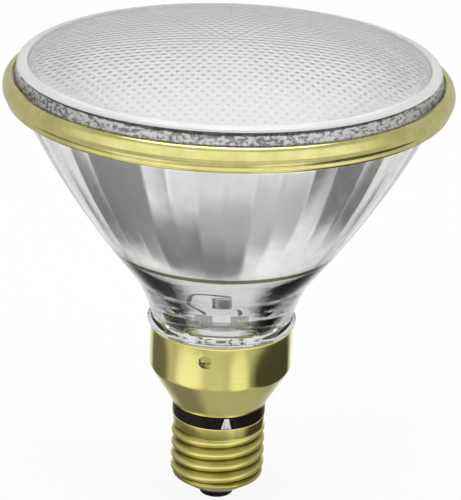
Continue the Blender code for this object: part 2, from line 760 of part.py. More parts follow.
def make_filament_leads(material):
    """A short lead up to the coil's foot and a long one past it to its top."""
    foil_top = capsule_base() + PINCH_HEIGHT / 2 + FOIL_HEIGHT / 2 + FILAMENT_LEAD_WIRE
    half = FOIL_SPACING / 2
    low = filament_middle() - FILAMENT_HEIGHT / 2
    high = filament_middle() + FILAMENT_HEIGHT / 2
    touch = FILAMENT_WIRE + FILAMENT_LEAD_WIRE + FIT
    beside = CAPSULE_RADIUS - CAPSULE_WALL - FILAMENT_LEAD_WIRE - FIT * 2
    short = [
        (half, 0.0, foil_top),
        (half, 0.0, (foil_top + low) / 2),
        (FILAMENT_RADIUS + touch, 0.0, low - touch),
    ]
    long = [
        (-half, 0.0, foil_top),
        (-half, 0.0, capsule_base() + PINCH_HEIGHT),
        (-beside, 0.0, low),
        (-beside, 0.0, high - FIT),
        (-beside / 2, 0.0, high + touch * 1.6),
        (FILAMENT_RADIUS, 0.0, high + touch),
    ]
    wire("filament_lead_short", smooth_route(short, 3), FILAMENT_LEAD_WIRE, material)
    wire("filament_lead_long", smooth_route(long, 3), FILAMENT_LEAD_WIRE, material)


def make_capsule_leads(material):
    """The stiff wires that carry the capsule, each standing on a ferrule and ending at its foil."""
    ferrule_top = FLOOR_TOP + FERRULE_ABOVE + FIT
    foil_base = capsule_base() + PINCH_HEIGHT / 2 - FOIL_HEIGHT / 2 - FIT
    knee = (ferrule_top + capsule_base()) / 2
    half = FERRULE_SPACING / 2
    foil = FOIL_SPACING / 2
    for name, side in (("capsule_lead_left", -1), ("capsule_lead_right", 1)):
        route = [
            (side * half, 0.0, ferrule_top),
            (side * half * 0.9, 0.0, knee),
            (side * (half + foil) / 2, 0.0, knee + CAPSULE_LEAD_WIRE * 2),
            (side * foil, 0.0, capsule_base() - FIT),
            (side * foil, 0.0, foil_base),
        ]
        wire(name, smooth_route(route, 3), CAPSULE_LEAD_WIRE, material)


def make_base_leads(material):
    """The wires from the ferrules down to the end contact and out to the side contact."""
    ferrule_end = FLOOR_TOP + FERRULE_ABOVE - FERRULE_WALL - FIT
    neck_base = SKIRT_TOP - NECK_DEPTH
    half = FERRULE_SPACING / 2
    below = FLOOR_TOP - FLOOR_THICKNESS - FERRULE_BELOW * 2
    centre_end = INSULATOR_BASE + CONTACT_PLATE_WALL + FIT * 4
    centre = [
        (half, 0.0, ferrule_end),
        (half, 0.0, below),
        (half * 0.8, 0.0, neck_base),
        (half * 0.2, 0.0, SKIRT_BASE),
        (0.0, 0.0, (SHELL_BASE + SHELL_TOP) / 2),
        (0.0, 0.0, SHELL_BASE + INSULATOR_DEPTH),
        (0.0, 0.0, centre_end),
    ]
    azimuth = math.radians(SIDE_CONTACT_AZIMUTH)
    solder = SHELL_RADIUS - INSULATOR_RING_WALL - BASE_LEAD_WIRE
    middle = (SHELL_TOP + SKIRT_BASE) / 2
    inside = solder * 0.72
    side = [
        (-half, 0.0, ferrule_end),
        (-half, 0.0, below),
        (-half * 0.7, -half * 0.6, neck_base),
        (inside * math.cos(azimuth), inside * math.sin(azimuth), SKIRT_BASE + INSULATOR_COLLAR),
        (solder * math.cos(azimuth), solder * math.sin(azimuth), middle),
    ]
    wire("centre_lead", smooth_route(centre, 3), BASE_LEAD_WIRE, material)
    wire("side_lead", smooth_route(side, 3), BASE_LEAD_WIRE, material)


def main():
    """Builds the bulb, from its end contact up and then from the outside in."""
    clear_scene()
    brass = finish("brass", (0.55, 0.50, 0.18), 0.25, metallic=1.0)
    gold_band = finish("gold_band", (0.62, 0.57, 0.20), 0.22, metallic=1.0)
    glass = finish("clear_glass", (0.95, 0.96, 0.95), 0.02, transmission=1.0)
    quartz = finish("quartz", (0.97, 0.98, 1.0), 0.01, transmission=1.0)
    silvered = finish("silvered_glass", (0.72, 0.73, 0.72), 0.12, metallic=0.9)
    black = finish("black_glass", (0.015, 0.012, 0.011), 0.3)
    solder = finish("solder", (0.78, 0.79, 0.80), 0.25, metallic=1.0)
    nickel = finish("nickel", (0.62, 0.60, 0.55), 0.3, metallic=1.0)
    tungsten = finish("tungsten", (0.30, 0.30, 0.32), 0.4, metallic=1.0)
    cement = finish("cement", (0.80, 0.78, 0.70), 0.8)
    make_end_contact(brass, solder)
    make_base_insulator(black)
    make_screw_shell(brass)
    make_insulating_ring(black)
    make_side_solder(solder)
    make_skirt(brass)
    make_reflector(silvered)
    make_sealing_ring(gold_band)
    make_flange_seal(cement)
    make_front_lens(glass)
    make_ferrules(nickel)
    make_capsule_envelope(quartz)
    make_foils(nickel)
    make_filament(tungsten)
    make_filament_leads(tungsten)
    make_capsule_leads(nickel)
    make_base_leads(nickel)


main()
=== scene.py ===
"""A reflector halogen bulb on a pale photographic set.

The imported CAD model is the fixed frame. The pieces that are seen closely are turned again in the
same place and at the same sizes, with a finer surface, and every piece gets a procedural finish.
Lengths are in metres, +Z runs up the bulb's axis and -Y faces the camera.
"""

from __future__ import annotations

import json
import logging
import math
from dataclasses import dataclass, field
from enum import Enum, IntEnum
from typing import Iterable, Mapping, Sequence, Union

import bmesh
import bpy
from bmesh.types import BMesh
from mathutils import Matrix, Vector

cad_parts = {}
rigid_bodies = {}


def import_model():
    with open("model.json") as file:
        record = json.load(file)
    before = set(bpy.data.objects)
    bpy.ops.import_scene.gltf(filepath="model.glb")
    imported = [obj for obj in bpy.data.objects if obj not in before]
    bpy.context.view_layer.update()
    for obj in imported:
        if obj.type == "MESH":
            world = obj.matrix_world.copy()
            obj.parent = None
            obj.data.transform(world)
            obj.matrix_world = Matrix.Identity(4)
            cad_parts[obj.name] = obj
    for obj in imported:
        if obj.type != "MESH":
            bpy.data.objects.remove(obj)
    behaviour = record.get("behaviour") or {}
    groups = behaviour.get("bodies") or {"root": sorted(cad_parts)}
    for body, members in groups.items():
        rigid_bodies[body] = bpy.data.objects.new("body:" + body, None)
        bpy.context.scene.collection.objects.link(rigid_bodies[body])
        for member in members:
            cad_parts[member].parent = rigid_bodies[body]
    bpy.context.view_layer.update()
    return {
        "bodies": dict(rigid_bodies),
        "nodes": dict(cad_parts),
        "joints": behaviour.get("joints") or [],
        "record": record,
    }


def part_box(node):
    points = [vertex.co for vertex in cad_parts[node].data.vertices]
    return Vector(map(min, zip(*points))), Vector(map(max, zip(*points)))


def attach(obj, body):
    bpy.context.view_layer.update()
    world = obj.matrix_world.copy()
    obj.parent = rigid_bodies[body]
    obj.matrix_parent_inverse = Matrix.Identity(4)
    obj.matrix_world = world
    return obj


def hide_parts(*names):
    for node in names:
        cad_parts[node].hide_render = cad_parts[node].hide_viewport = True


LOG = logging.getLogger("halogen_bulb")
MM = 0.001
FIT = 0.3 * MM
BODY = "root"
GLASS_INDEX = 1.48
QUARTZ_INDEX = 1.46
LENSLET_TURNS = (math.pi / 2, math.pi / 6, -math.pi / 6)
LENSLET_TROUGH = 0.5  # The mean of the three waves runs from minus this to 1
QUARTER_TURN = Matrix.Rotation(math.radians(90.0), 4, "X")

Point = tuple[float, float]
Colour = tuple[float, float, float]
Size = tuple[float, float, float]
Stops = tuple[Point, ...]


class Slot(Enum):
    """The record's material slots."""

    LENS_GLASS = "lens_glass"
    REFLECTOR_GLASS = "reflector_glass"
    GOLD_BAND = "gold_band"
    BRASS = "brass"
    BLACK_INSULATOR = "black_insulator"
    SOLDER = "solder"
    NICKEL = "nickel"
    TUNGSTEN = "tungsten"
    QUARTZ = "quartz"
    CEMENT = "cement"


class BowlFace(IntEnum):
    """Material indices on the reflector."""

    CLEAR = 0
    SILVERED = 1
    THINLY_COATED = 2


class LensFace(IntEnum):
    """Material indices on the lens."""

    BODY = 0
    WALL = 1
    INNER_DOME = 2
    RIM = 3


# Profiles: paths of (radius, height) points that are turned about the bulb's axis


def arc(centre: Point, radius: float, start: float, end: float, steps: int) -> list[Point]:
    """Points along an arc.

    Args:
        centre: The arc's middle, as radius and height.
        radius: The arc's own radius.
        start: First angle in degrees, from the outward direction.
        end: Last angle in degrees.
        steps: Number of stretches.

    Returns:
        The arc's points, both ends included.
    """
    points = []
    for step in range(steps + 1):
        angle = math.radians(start + (end - start) * step / steps)
        points.append((centre[0] + radius * math.cos(angle), centre[1] + radius * math.sin(angle)))
    return points


def offset(path: Sequence[Point], distance: float) -> list[Point]:
    """Moves a path sideways, to the left of the way it runs, with mitred corners.

    Args:
        path: The points of an open path.
        distance: How far to move it.

    Returns:
        The moved points, as many as before.
    """
    points = [Vector(point) for point in path]
    normals = []
    for here, there in zip(points, points[1:]):
        along = (there - here).normalized()
        normals.append(Vector((-along.y, along.x)))
    moved = []
    for index, point in enumerate(points):
        before = normals[max(index - 1, 0)]
        after = normals[min(index, len(normals) - 1)]
        mitre = (before + after).normalized()
        moved.append(tuple(point + mitre * (distance / max(mitre.dot(after), 0.5))))
    return moved


def flow(points: Sequence[Point], steps: int) -> list[Point]:
    """Reads a smooth curve through the given points.

    Args:
        points: The points that the curve passes.
        steps: Number of stretches between two of them.

    Returns:
        The curve's points, both ends included.
    """
    knots = [Vector(point) for point in points]
    knots = [2 * knots[0] - knots[1]] + knots + [2 * knots[-1] - knots[-2]]
    path = []
    for a, b, c, d in zip(knots, knots[1:], knots[2:], knots[3:]):
        for step in range(steps):
            t = step / steps
            slope = (c - a) * t
            bend = (2 * a - 5 * b + 4 * c - d) * t**2
            twist = (3 * b - a - 3 * c + d) * t**3
            path.append(tuple(0.5 * (2 * b + slope + bend + twist)))
    path.append(tuple(knots[-2]))
    return path


def rounded(corner: Point, before: Point, after: Point, reach: float, steps: int = 4) -> list[Point]:
    """Rounds a corner of a path.

    Args:
        corner: The sharp corner.
        before: A point on the way to it.
        after: A point on the way from it.
        reach: How far from the corner the rounding starts.
        steps: Number of stretches.

    Returns:
        Points along a quadratic curve that replaces the corner.
    """
    middle = Vector(corner)
    start = middle + (Vector(before) - middle).normalized() * reach
    end = middle + (Vector(after) - middle).normalized() * reach
    points = []
    for step in range(steps + 1):
        t = step / steps
        points.append(tuple(start * (1 - t) ** 2 + middle * (2 * t * (1 - t)) + end * t**2))
    return points


def smoothstep(low: float, high: float, value: float) -> float:
    """A soft step from 0 at low to 1 at high."""
    share = min(max((value - low) / (high - low), 0.0), 1.0)
    return share * share * (3 - 2 * share)


def turn(shape: BMesh, path: Sequence[Point], columns: int, material: int = 0, closed: bool = False) -> None:
    """Spins a profile about the bulb's axis into a bmesh.

    Args:
        shape: The bmesh that receives the surface.
        path: The profile. Points at radius 0 stay on the axis.
        columns: Number of steps round the axis.
        material: Index of the material of the new faces.
        closed: Whether the last point joins the first.
    """
    known = set(shape.faces)
    verts = [shape.verts.new((radius, 0.0, height)) for radius, height in path]
    pairs = list(zip(verts, verts[1:]))
    if closed:
        pairs.append((verts[-1], verts[0]))
    edges = [shape.edges.new(pair) for pair in pairs if max(pair[0].co.x, pair[1].co.x) > 0]
    bmesh.ops.spin(
        shape,
        geom=verts + edges,
        cent=(0, 0, 0),
        axis=(0, 0, 1),
        angle=2 * math.pi,
        steps=columns,
        use_merge=True,
    )
    for face in shape.faces:
        if face not in known:
            face.material_index = material


def radial(azimuth: float, radius: float, height: float) -> Matrix:
    """A frame at this place on a turned surface: X runs along it, Y points in and Z is up."""
    turned = Matrix.Rotation(math.radians(azimuth + 90.0), 4, "Z")
    return turned @ Matrix.Translation((0.0, -radius, height))


def rod(radius: float, length: float, place: Matrix) -> BMesh:
    """A round rod along this frame's Z, to cut a hole with."""
    shape = bmesh.new()
    bmesh.ops.create_cone(shape, segments=32, radius1=radius, radius2=radius, depth=length, cap_ends=True)
    shape.transform(place)
    return shape


def around(count: int, azimuth: float, radius: float, height: float) -> list[Matrix]:
    """Frames at equal angles on a turned surface, as radial makes them."""
    return [radial(azimuth + 360.0 * index / count, radius, height) for index in range(count)]


def object_of(name: str, shape: BMesh, *materials: bpy.types.Material) -> bpy.types.Object:
    """Makes a scene object of a bmesh, which is freed."""
    mesh = bpy.data.meshes.new(name)
    shape.to_mesh(mesh)
    shape.free()
    for material in materials:
        mesh.materials.append(material)
    made = bpy.data.objects.new(name, mesh)
    bpy.context.scene.collection.objects.link(made)
    return made


def smooth(mesh: bpy.types.Mesh, sharp: float) -> None:
    """Shades a mesh smooth, but for its edges from this angle in degrees."""
    mesh.shade_smooth()
    mesh.set_sharp_from_angle(angle=math.radians(sharp))


# Shader building


class Signal:
    """A number in a material, which the plain operators combine into Math nodes."""

    def __init__(self, sheet: "ShaderSheet", socket: bpy.types.NodeSocket) -> None:
        """Wraps one output socket of a sheet."""
        self.sheet = sheet
        self.socket = socket

    def __add__(self, other: "Number") -> "Signal":
        """self + other"""
        return self.sheet.maths("ADD", self, other)

    def __sub__(self, other: "Number") -> "Signal":
        """self - other"""
        return self.sheet.maths("SUBTRACT", self, other)

    def __rsub__(self, other: "Number") -> "Signal":
        """other - self"""
        return self.sheet.maths("SUBTRACT", other, self)

    def __mul__(self, other: "Number") -> "Signal":
        """self * other"""
        return self.sheet.maths("MULTIPLY", self, other)

    def __truediv__(self, other: "Number") -> "Signal":
        """self / other"""
        return self.sheet.maths("DIVIDE", self, other)

    def __pow__(self, other: "Number") -> "Signal":
        """self to the power of other"""
        return self.sheet.maths("POWER", self, other)

    __radd__ = __add__
    __rmul__ = __mul__

    def at_most(self, other: "Number") -> "Signal":
        """The smaller of the two."""
        return self.sheet.maths("MINIMUM", self, other)

    def at_least(self, other: "Number") -> "Signal":
        """The larger of the two."""
        return self.sheet.maths("MAXIMUM", self, other)


Number = Union[Signal, float]
Feed = Union[Signal, bpy.types.NodeSocket, float, tuple, str]


class ShaderSheet:
    """The node tree of one material or of the world."""

    MIX_FACTOR, MIX_A, MIX_B, MIX_RESULT = 0, 6, 7, 2

    def __init__(self, owner: Union[bpy.types.Material, bpy.types.World]) -> None:
        """Empties the owner's node tree."""
        owner.use_nodes = True
        self.owner = owner
        self.tree = owner.node_tree
        self.tree.nodes.clear()

    @classmethod
    def of(cls, name: str) -> "ShaderSheet":
        """The sheet of a new material."""
        return cls(bpy.data.materials.new(name))

    def node(
        self,
        kind: str,
        settings: Mapping[str, object] | None = None,
        sockets: Mapping[Union[str, int], Feed] | None = None,
    ) -> bpy.types.Node:
        """Adds a node.

        Args:
            kind: The node's type.
            settings: Its own settings, set before its sockets. "stops" fills a colour ramp.
            sockets: Values or links for its inputs, by name or number.

        Returns:
            The new node.
        """
        made = self.tree.nodes.new(kind)
        for name, value in (settings or {}).items():
            if name == "stops":
                self._fill_ramp(made.color_ramp, value)
            else:
                setattr(made, name, value)
        for name, value in (sockets or {}).items():
            self._feed(made.inputs[name], value)
        return made

    @staticmethod
    def _fill_ramp(ramp: bpy.types.ColorRamp, stops: Sequence[tuple[float, float]]) -> None:
        """Sets a ramp's stops, each a position and a grey level."""
        while len(ramp.elements) < len(stops):
            ramp.elements.new(0.5)
        for element, (position, level) in zip(ramp.elements, stops):
            element.position = position
            element.color = (level, level, level, 1.0)

    def _feed(self, socket: bpy.types.NodeSocket, value: Feed) -> None:
        """Links a socket, or sets its value."""
        if isinstance(value, Signal):
            self.tree.links.new(value.socket, socket)
        elif isinstance(value, bpy.types.NodeSocket):
            self.tree.links.new(value, socket)
        elif isinstance(value, tuple) and len(value) == 3 and socket.type == "RGBA":
            socket.default_value = (*value, 1.0)
        else:
            socket.default_value = value

    def maths(self, operation: str, *values: Number) -> Signal:
        """One Math node on up to three values."""
        made = self.node("ShaderNodeMath", {"operation": operation}, dict(enumerate(values)))
        return Signal(self, made.outputs[0])

    def place(self) -> bpy.types.NodeSocket:
        """The point on the surface in the object's own coordinates."""
        return self.node("ShaderNodeTexCoord").outputs["Object"]

    def axes(self) -> tuple[Signal, Signal, Signal]:
        """The three object coordinates as numbers."""
        split = self.node("ShaderNodeSeparateXYZ", None, {"Vector": self.place()})
        return tuple(Signal(self, socket) for socket in split.outputs)

    def noise(self, size: Size, detail: float = 2.0, roughness: float = 0.5) -> Signal:
        """Noise about 0.5.

        Args:
            size: The length of its features along X, Y and Z.
            detail: Number of finer octaves.
            roughness: Weight of the finer octaves.

        Returns:
            The noise value.
        """
        scale = tuple(1.0 / length for length in size)
        mapped = self.node("ShaderNodeMapping", None, {"Vector": self.place(), "Scale": scale})
        sockets = {"Vector": mapped.outputs[0], "Scale": 1.0, "Detail": detail, "Roughness": roughness}
        return Signal(self, self.node("ShaderNodeTexNoise", None, sockets).outputs[0])

    def ramp(self, value: Signal, *stops: tuple[float, float]) -> Signal:
        """Reshapes a value by a ramp of (position, level) stops."""
        made = self.node("ShaderNodeValToRGB", {"stops": stops}, {"Fac": value})
        return Signal(self, made.outputs[0])

    def blend(self, factor: Number, low: Feed, high: Feed) -> bpy.types.NodeSocket:
        """A colour between low, at 0, and high, at 1."""
        sockets = {self.MIX_FACTOR: factor, self.MIX_A: low, self.MIX_B: high}
        made = self.node("ShaderNodeMix", {"data_type": "RGBA"}, sockets)
        return made.outputs[self.MIX_RESULT]

    def bump(self, height: Signal, distance: float) -> bpy.types.NodeSocket:
        """A normal bent by a height between 0 and 1 that stands for this distance."""
        sockets = {"Height": height, "Distance": distance, "Strength": 1.0}
        return self.node("ShaderNodeBump", None, sockets).outputs["Normal"]

    def surface(self, sockets: Mapping[str, Feed]) -> bpy.types.Material:
        """Ends the tree in a Principled shader with these sockets."""
        shader = self.node("ShaderNodeBsdfPrincipled", None, sockets)
        self.node("ShaderNodeOutputMaterial", None, {"Surface": shader.outputs[0]})
        return self.owner

    def glass(
        self, colour: Feed, index: float, more: Mapping[str, Feed] | None = None
    ) -> bpy.types.Material:
        """Ends the tree in smooth clear glass.

        Args:
            colour: What the glass lets through.
            index: Its index of refraction.
            more: Sockets that are added to the glass's own or replace them.

        Returns:
            The material.
        """
        clear = {"Base Color": colour, "Roughness": 0.0, "IOR": index, "Transmission Weight": 1.0}
        return self.surface({**clear, **(more or {})})


@dataclass(frozen=True)
class TurnedMetal:
    """Bright sheet metal with fine lines round the axis, slight waves and a patchy tarnish.

    Where a hollow's two radii are given, the metal darkens towards the tarnish colour from the second radius
    in to the first: painted shade of the hollow, with some tarnish.
    """

    name: str
    colour: Colour
    # the tarnish colour, also used for the painted shade of a hollow
    tarnish: Colour
    roughness: float
    line_spacing: float = 0.25 * MM
    line_depth: float = 0.004 * MM
    patch_size: float = 14 * MM
    patch_share: float = 0.35
    patch_stops: Stops = ((0.35, 0.0), (0.75, 1.0))
    line_share: float = 0.25
    wave_size: float = 7 * MM
    wave_depth: float = 0.02 * MM
    # radii of the hollow that gets painted shade, with some tarnish
    shaded_hollow: Point | None = None
    hollow_shade_share: float = 0.7
    clean_share: float = 0.7

    def material(self) -> bpy.types.Material:
        """Builds the finish."""
        sheet = ShaderSheet.of(self.name)
        lines = sheet.noise((self.patch_size, self.patch_size, self.line_spacing), detail=1.0)
        waves = sheet.noise((self.wave_size,) * 3, detail=1.5)
        patches = sheet.ramp(sheet.noise((self.patch_size,) * 3, detail=4.0), *self.patch_stops)
        tarnish_and_shade_mask = patches * self.patch_share + lines * self.line_share
        # painted shade, with some tarnish, deepening into the hollow
        if self.shaded_hollow:
            x, y, _ = sheet.axes()
            radius = (x * x + y * y) ** 0.5
            depth = (self.shaded_hollow[1] - radius) / (self.shaded_hollow[1] - self.shaded_hollow[0])
            tarnish_and_shade_mask = tarnish_and_shade_mask + depth.at_least(0.0).at_most(1.0) * self.hollow_shade_share
        tarnish_and_shade_mask = tarnish_and_shade_mask.at_most(1.0)
        relief = lines * (self.line_depth / MM) + waves * (self.wave_depth / MM)
        return sheet.surface(
            {
                "Base Color": sheet.blend(tarnish_and_shade_mask, self.colour, self.tarnish),
                "Metallic": 1.0,
                "Roughness": tarnish_and_shade_mask * self.roughness + self.roughness * self.clean_share,
                "Normal": sheet.bump(relief, MM),
            }
        )


@dataclass(frozen=True)
class Silvering:
    """The mirror coat on the reflector's inner face, with faint upright streaks.

    A thin dark olive stripe runs round it at one height, near the foot of the flutes.
    """

    stripe: float
    name: str = "silvering"
    colour: Colour = (0.99, 0.99, 0.985)
    thin_colour: Colour = (0.94, 0.94, 0.93)
    stripe_colour: Colour = (0.17, 0.17, 0.10)
    stripe_width: float = 0.9 * MM
    stripe_firmness: float = 1.5
    roughness: float = 0.09
    streak: Size = (2.2 * MM, 2.2 * MM, 60 * MM)
    streak_share: float = 0.6
    cloud: Size = (11 * MM, 11 * MM, 11 * MM)
    cloud_share: float = 0.4
    cloud_depth: float = 0.03 * MM
    stops: Stops = ((0.38, 0.0), (0.66, 1.0))

    def material(self) -> bpy.types.Material:
        """Builds the finish."""
        sheet = ShaderSheet.of(self.name)
        streaks = sheet.noise(self.streak, detail=3.0)
        cloud = sheet.noise(self.cloud, detail=3.0)
        uneven = sheet.ramp(streaks * self.streak_share + cloud * self.cloud_share, *self.stops)
        above = (sheet.axes()[2] - self.stripe) / self.stripe_width
        rim = ((1.0 - above * above) * self.stripe_firmness).at_least(0.0).at_most(1.0)
        coat = sheet.blend(uneven, self.colour, self.thin_colour)
        return sheet.surface(
            {
                "Base Color": sheet.blend(rim, coat, self.stripe_colour),
                "Metallic": 1.0,
                "Roughness": uneven * self.roughness + self.roughness,
                "Normal": sheet.bump(cloud, self.cloud_depth),
            }
        )


@dataclass(frozen=True)
class ThinCoat:
    """The cup under the silvering: clear glass with four lobes of thin metal film.

    The lobes stand at 45 degrees to the front and thin out a little downwards.
    """

    low: float
    high: float
    name: str = "thin_coat"
    tint: Colour = (0.97, 0.98, 0.97)
    film: Colour = (0.62, 0.63, 0.65)
    lobes: float = 4.0
    lobe_share: float = 0.9
    rise_share: float = 0.3
    streak: Size = (1.6 * MM, 1.6 * MM, 9 * MM)
    streak_share: float = 0.6
    bareness: float = 0.05
    least: float = 0.05
    roughness: float = 0.05

    def material(self) -> bpy.types.Material:
        """Builds the finish."""
        sheet = ShaderSheet.of(self.name)
        x, y, z = sheet.axes()
        lobe = sheet.maths("COSINE", sheet.maths("ARCTAN2", y, x) * self.lobes)
        rise = (z - self.low) / (self.high - self.low)
        streaks = sheet.noise(self.streak) * self.streak_share
        cover = rise * self.rise_share + streaks - lobe * self.lobe_share - self.bareness
        cover = cover.at_least(self.least).at_most(1.0)
        more = {"Metallic": cover, "Roughness": self.roughness}
        return sheet.glass(sheet.blend(cover, self.tint, self.film), GLASS_INDEX, more)


@dataclass(frozen=True)
class ClearGlass:
    """Clear glass whose surface is slightly wavy, as pressing or blowing leaves it.

    A clarity below 1 makes it a little milky.
    """

    name: str
    tint: Colour
    wave_size: float
    wave_depth: float
    clarity: float = 1.0
    index: float = GLASS_INDEX

    def material(self) -> bpy.types.Material:
        """Builds the finish."""
        sheet = ShaderSheet.of(self.name)
        waves = sheet.bump(sheet.noise((self.wave_size,) * 3), self.wave_depth)
        return sheet.glass(self.tint, self.index, {"Transmission Weight": self.clarity, "Normal": waves})


@dataclass(frozen=True)
class LensletGlass:
    """The lens's inner face: clear glass with a grey spot of painted shade in the middle of each lenslet.

    The painted shade is full from plain plus spread outwards, fades to none at plain, and ends at reach.
    """

    row: float
    reach: float
    name: str = "lenslet_glass"
    clear: Colour = (1.0, 1.0, 1.0)
    # grey of the painted shade in each lenslet
    painted_shade: Colour = (0.50, 0.51, 0.51)
    painted_shade_from: float = 0.48
    painted_shade_span: float = 0.36
    fade: float = 3.0 * MM
    plain: float = 16.0 * MM
    spread: float = 20.0 * MM

    def material(self) -> bpy.types.Material:
        """Builds the finish."""
        sheet = ShaderSheet.of(self.name)
        x, y, _ = sheet.axes()
        crest: Number = 0.0
        for turned in LENSLET_TURNS:
            along = x * math.cos(turned) + y * math.sin(turned)
            crest = sheet.maths("COSINE", along * (2 * math.pi / self.row)) + crest
        # painted shade: a grey tint in the middle of each lenslet
        painted_shade_spots = (crest / 3.0 - self.painted_shade_from) / self.painted_shade_span
        radius = (x * x + y * y) ** 0.5
        inside = ((self.reach - radius) / self.fade).at_most((radius - self.plain) / self.spread)
        cover = painted_shade_spots.at_most(1.0).at_least(0.0) * inside.at_most(1.0).at_least(0.0)
        return sheet.glass(sheet.blend(cover, self.clear, self.painted_shade), GLASS_INDEX)


@dataclass(frozen=True)
class StippledGlass:
    """The lens's side wall: clear glass pressed with a stipple, its speckles tinted dark as a painted
    reflection of dark things seen through the wall.
    """

    name: str = "stippled_glass"
    clear: Colour = (0.98, 0.99, 0.98)
    painted_reflection_dark: Colour = (0.09, 0.09, 0.09)
    grain: Size = (1.3 * MM, 1.3 * MM, 0.8 * MM)
    grain_share: float = 0.8
    cloud: Size = (26 * MM, 26 * MM, 26 * MM)
    cloud_share: float = 0.2
    stops: Stops = ((0.43, 1.0), (0.55, 0.0))
    depth: float = 0.10 * MM

    def material(self) -> bpy.types.Material:
        """Builds the finish."""
        sheet = ShaderSheet.of(self.name)
        grain = sheet.noise(self.grain, detail=2.0, roughness=0.6)
        cloud = sheet.noise(self.cloud, detail=1.0)
        cover = sheet.ramp(grain * self.grain_share + cloud * self.cloud_share, *self.stops)
        # painted reflection: the stipple's speckles tinted dark
        colour = sheet.blend(cover, self.clear, self.painted_reflection_dark)
        return sheet.glass(colour, GLASS_INDEX, {"Normal": sheet.bump(grain, self.depth)})


@dataclass(frozen=True)
class Vitrite:
    """The black glassy insulator, glossy with a faint orange-peel."""

    name: str = "black_insulator"
    colour: Colour = (0.008, 0.005, 0.004)
    dusty: Colour = (0.020, 0.013, 0.010)
    dust_size: float = 5 * MM
    dust_stops: Stops = ((0.45, 0.0), (0.75, 1.0))
    dust_roughness: float = 0.2
    roughness: float = 0.3
    shine: float = 0.12
    peel_size: float = 0.9 * MM
    peel_depth: float = 0.02 * MM

    def material(self) -> bpy.types.Material:
        """Builds the finish."""
        sheet = ShaderSheet.of(self.name)
        peel = sheet.noise((self.peel_size,) * 3)
        dust = sheet.ramp(sheet.noise((self.dust_size,) * 3, detail=5.0), *self.dust_stops)
        return sheet.surface(
            {
                "Base Color": sheet.blend(dust, self.colour, self.dusty),
                "Roughness": dust * self.dust_roughness + self.roughness,
                "Specular IOR Level": self.shine,
                "Normal": sheet.bump(peel, self.peel_depth),
            }
        )


@dataclass(frozen=True)
class DrawnWire:
    """Plain metal wire or cast metal, with fine lengthwise marks or lumps."""

    name: str
    colour: Colour
    dull: Colour
    roughness: float
    grain: Size
    depth: float
    smooth_share: float = 0.5

    def material(self) -> bpy.types.Material:
        """Builds the finish."""
        sheet = ShaderSheet.of(self.name)
        grain = sheet.noise(self.grain, detail=3.0)
        return sheet.surface(
            {
                "Base Color": sheet.blend(grain, self.colour, self.dull),
                "Metallic": 1.0,
                "Roughness": grain * self.roughness + self.roughness * self.smooth_share,
                "Normal": sheet.bump(grain, self.depth),
            }
        )


@dataclass(frozen=True)
class Cement:
    """The matt sealing cement between the flanges."""

    name: str = "cement"
    colour: Colour = (0.78, 0.75, 0.66)
    pit: Colour = (0.62, 0.58, 0.50)
    pit_size: float = 0.4 * MM
    pit_depth: float = 0.05 * MM
    roughness: float = 0.7
    pit_roughness: float = 0.2

    def material(self) -> bpy.types.Material:
        """Builds the finish."""
        sheet = ShaderSheet.of(self.name)
        grain = sheet.noise((self.pit_size,) * 3, detail=4.0)
        return sheet.surface(
            {
                "Base Color": sheet.blend(grain, self.colour, self.pit),
                "Roughness": grain * self.pit_roughness + self.roughness,
                "Normal": sheet.bump(grain, self.pit_depth),
            }
        )


@dataclass
class Finishes:
    """Every material of the bulb, each made once."""

    brass: bpy.types.Material = field(init=False)
    thread_brass: bpy.types.Material = field(init=False)
    gold: bpy.types.Material = field(init=False)
    pressed_glass: bpy.types.Material = field(init=False)
    lens_glass: bpy.types.Material = field(init=False)
    rim_glass: bpy.types.Material = field(init=False)
    stippled_glass: bpy.types.Material = field(init=False)
    quartz: bpy.types.Material = field(init=False)
    black: bpy.types.Material = field(init=False)
    solder: bpy.types.Material = field(init=False)
    nickel: bpy.types.Material = field(init=False)
    tungsten: bpy.types.Material = field(init=False)
    cement: bpy.types.Material = field(init=False)

    def __post_init__(self) -> None:
        """Builds the materials."""
        bright, dull = (0.94, 0.87, 0.34), (0.62, 0.56, 0.10)
        self.brass = TurnedMetal("brass", bright, dull, 0.13).material()
        # the thread's roots get painted shade, with some tarnish
        self.thread_brass = TurnedMetal(
            "thread_brass", (0.95, 0.87, 0.28), (0.20, 0.16, 0.015), 0.10, shaded_hollow=(12.15 * MM, 12.75 * MM)
        ).material()
        self.gold = TurnedMetal(
            "gold_band",
            (0.93, 0.88, 0.38),
            (0.50, 0.45, 0.10),
            0.11,
            patch_size=6 * MM,
            patch_share=0.45,
            wave_depth=0.06 * MM,
        ).material()
        clear = (1.0, 1.0, 1.0)
        self.pressed_glass = ClearGlass(
            "pressed_glass", (0.985, 0.995, 0.985), 9 * MM, 0.03 * MM
        ).material()
        self.lens_glass = ClearGlass("lens_glass", clear, 14 * MM, 0.02 * MM, 0.74).material()
        self.rim_glass = ClearGlass(
            "rim_glass", (0.97, 0.98, 0.97), 14 * MM, 0.02 * MM, 0.4
        ).material()
        self.stippled_glass = StippledGlass().material()
        self.quartz = ClearGlass("quartz", clear, 4 * MM, 0.01 * MM, index=QUARTZ_INDEX).material()
        self.black = Vitrite().material()
        lumps = (1.1 * MM,) * 3
        drawn = (0.2 * MM, 0.2 * MM, 2.5 * MM)
        self.solder = DrawnWire(
            "solder", (0.88, 0.88, 0.87), (0.70, 0.70, 0.70), 0.22, lumps, 0.06 * MM
        ).material()
        self.nickel = DrawnWire(
            "nickel", (0.68, 0.66, 0.61), (0.50, 0.48, 0.44), 0.3, drawn, 0.01 * MM
        ).material()
        self.tungsten = DrawnWire(
            "tungsten", (0.36, 0.36, 0.38), (0.22, 0.22, 0.24), 0.4, drawn, 0.01 * MM
        ).material()
        self.cement = Cement().material()


# The bulb


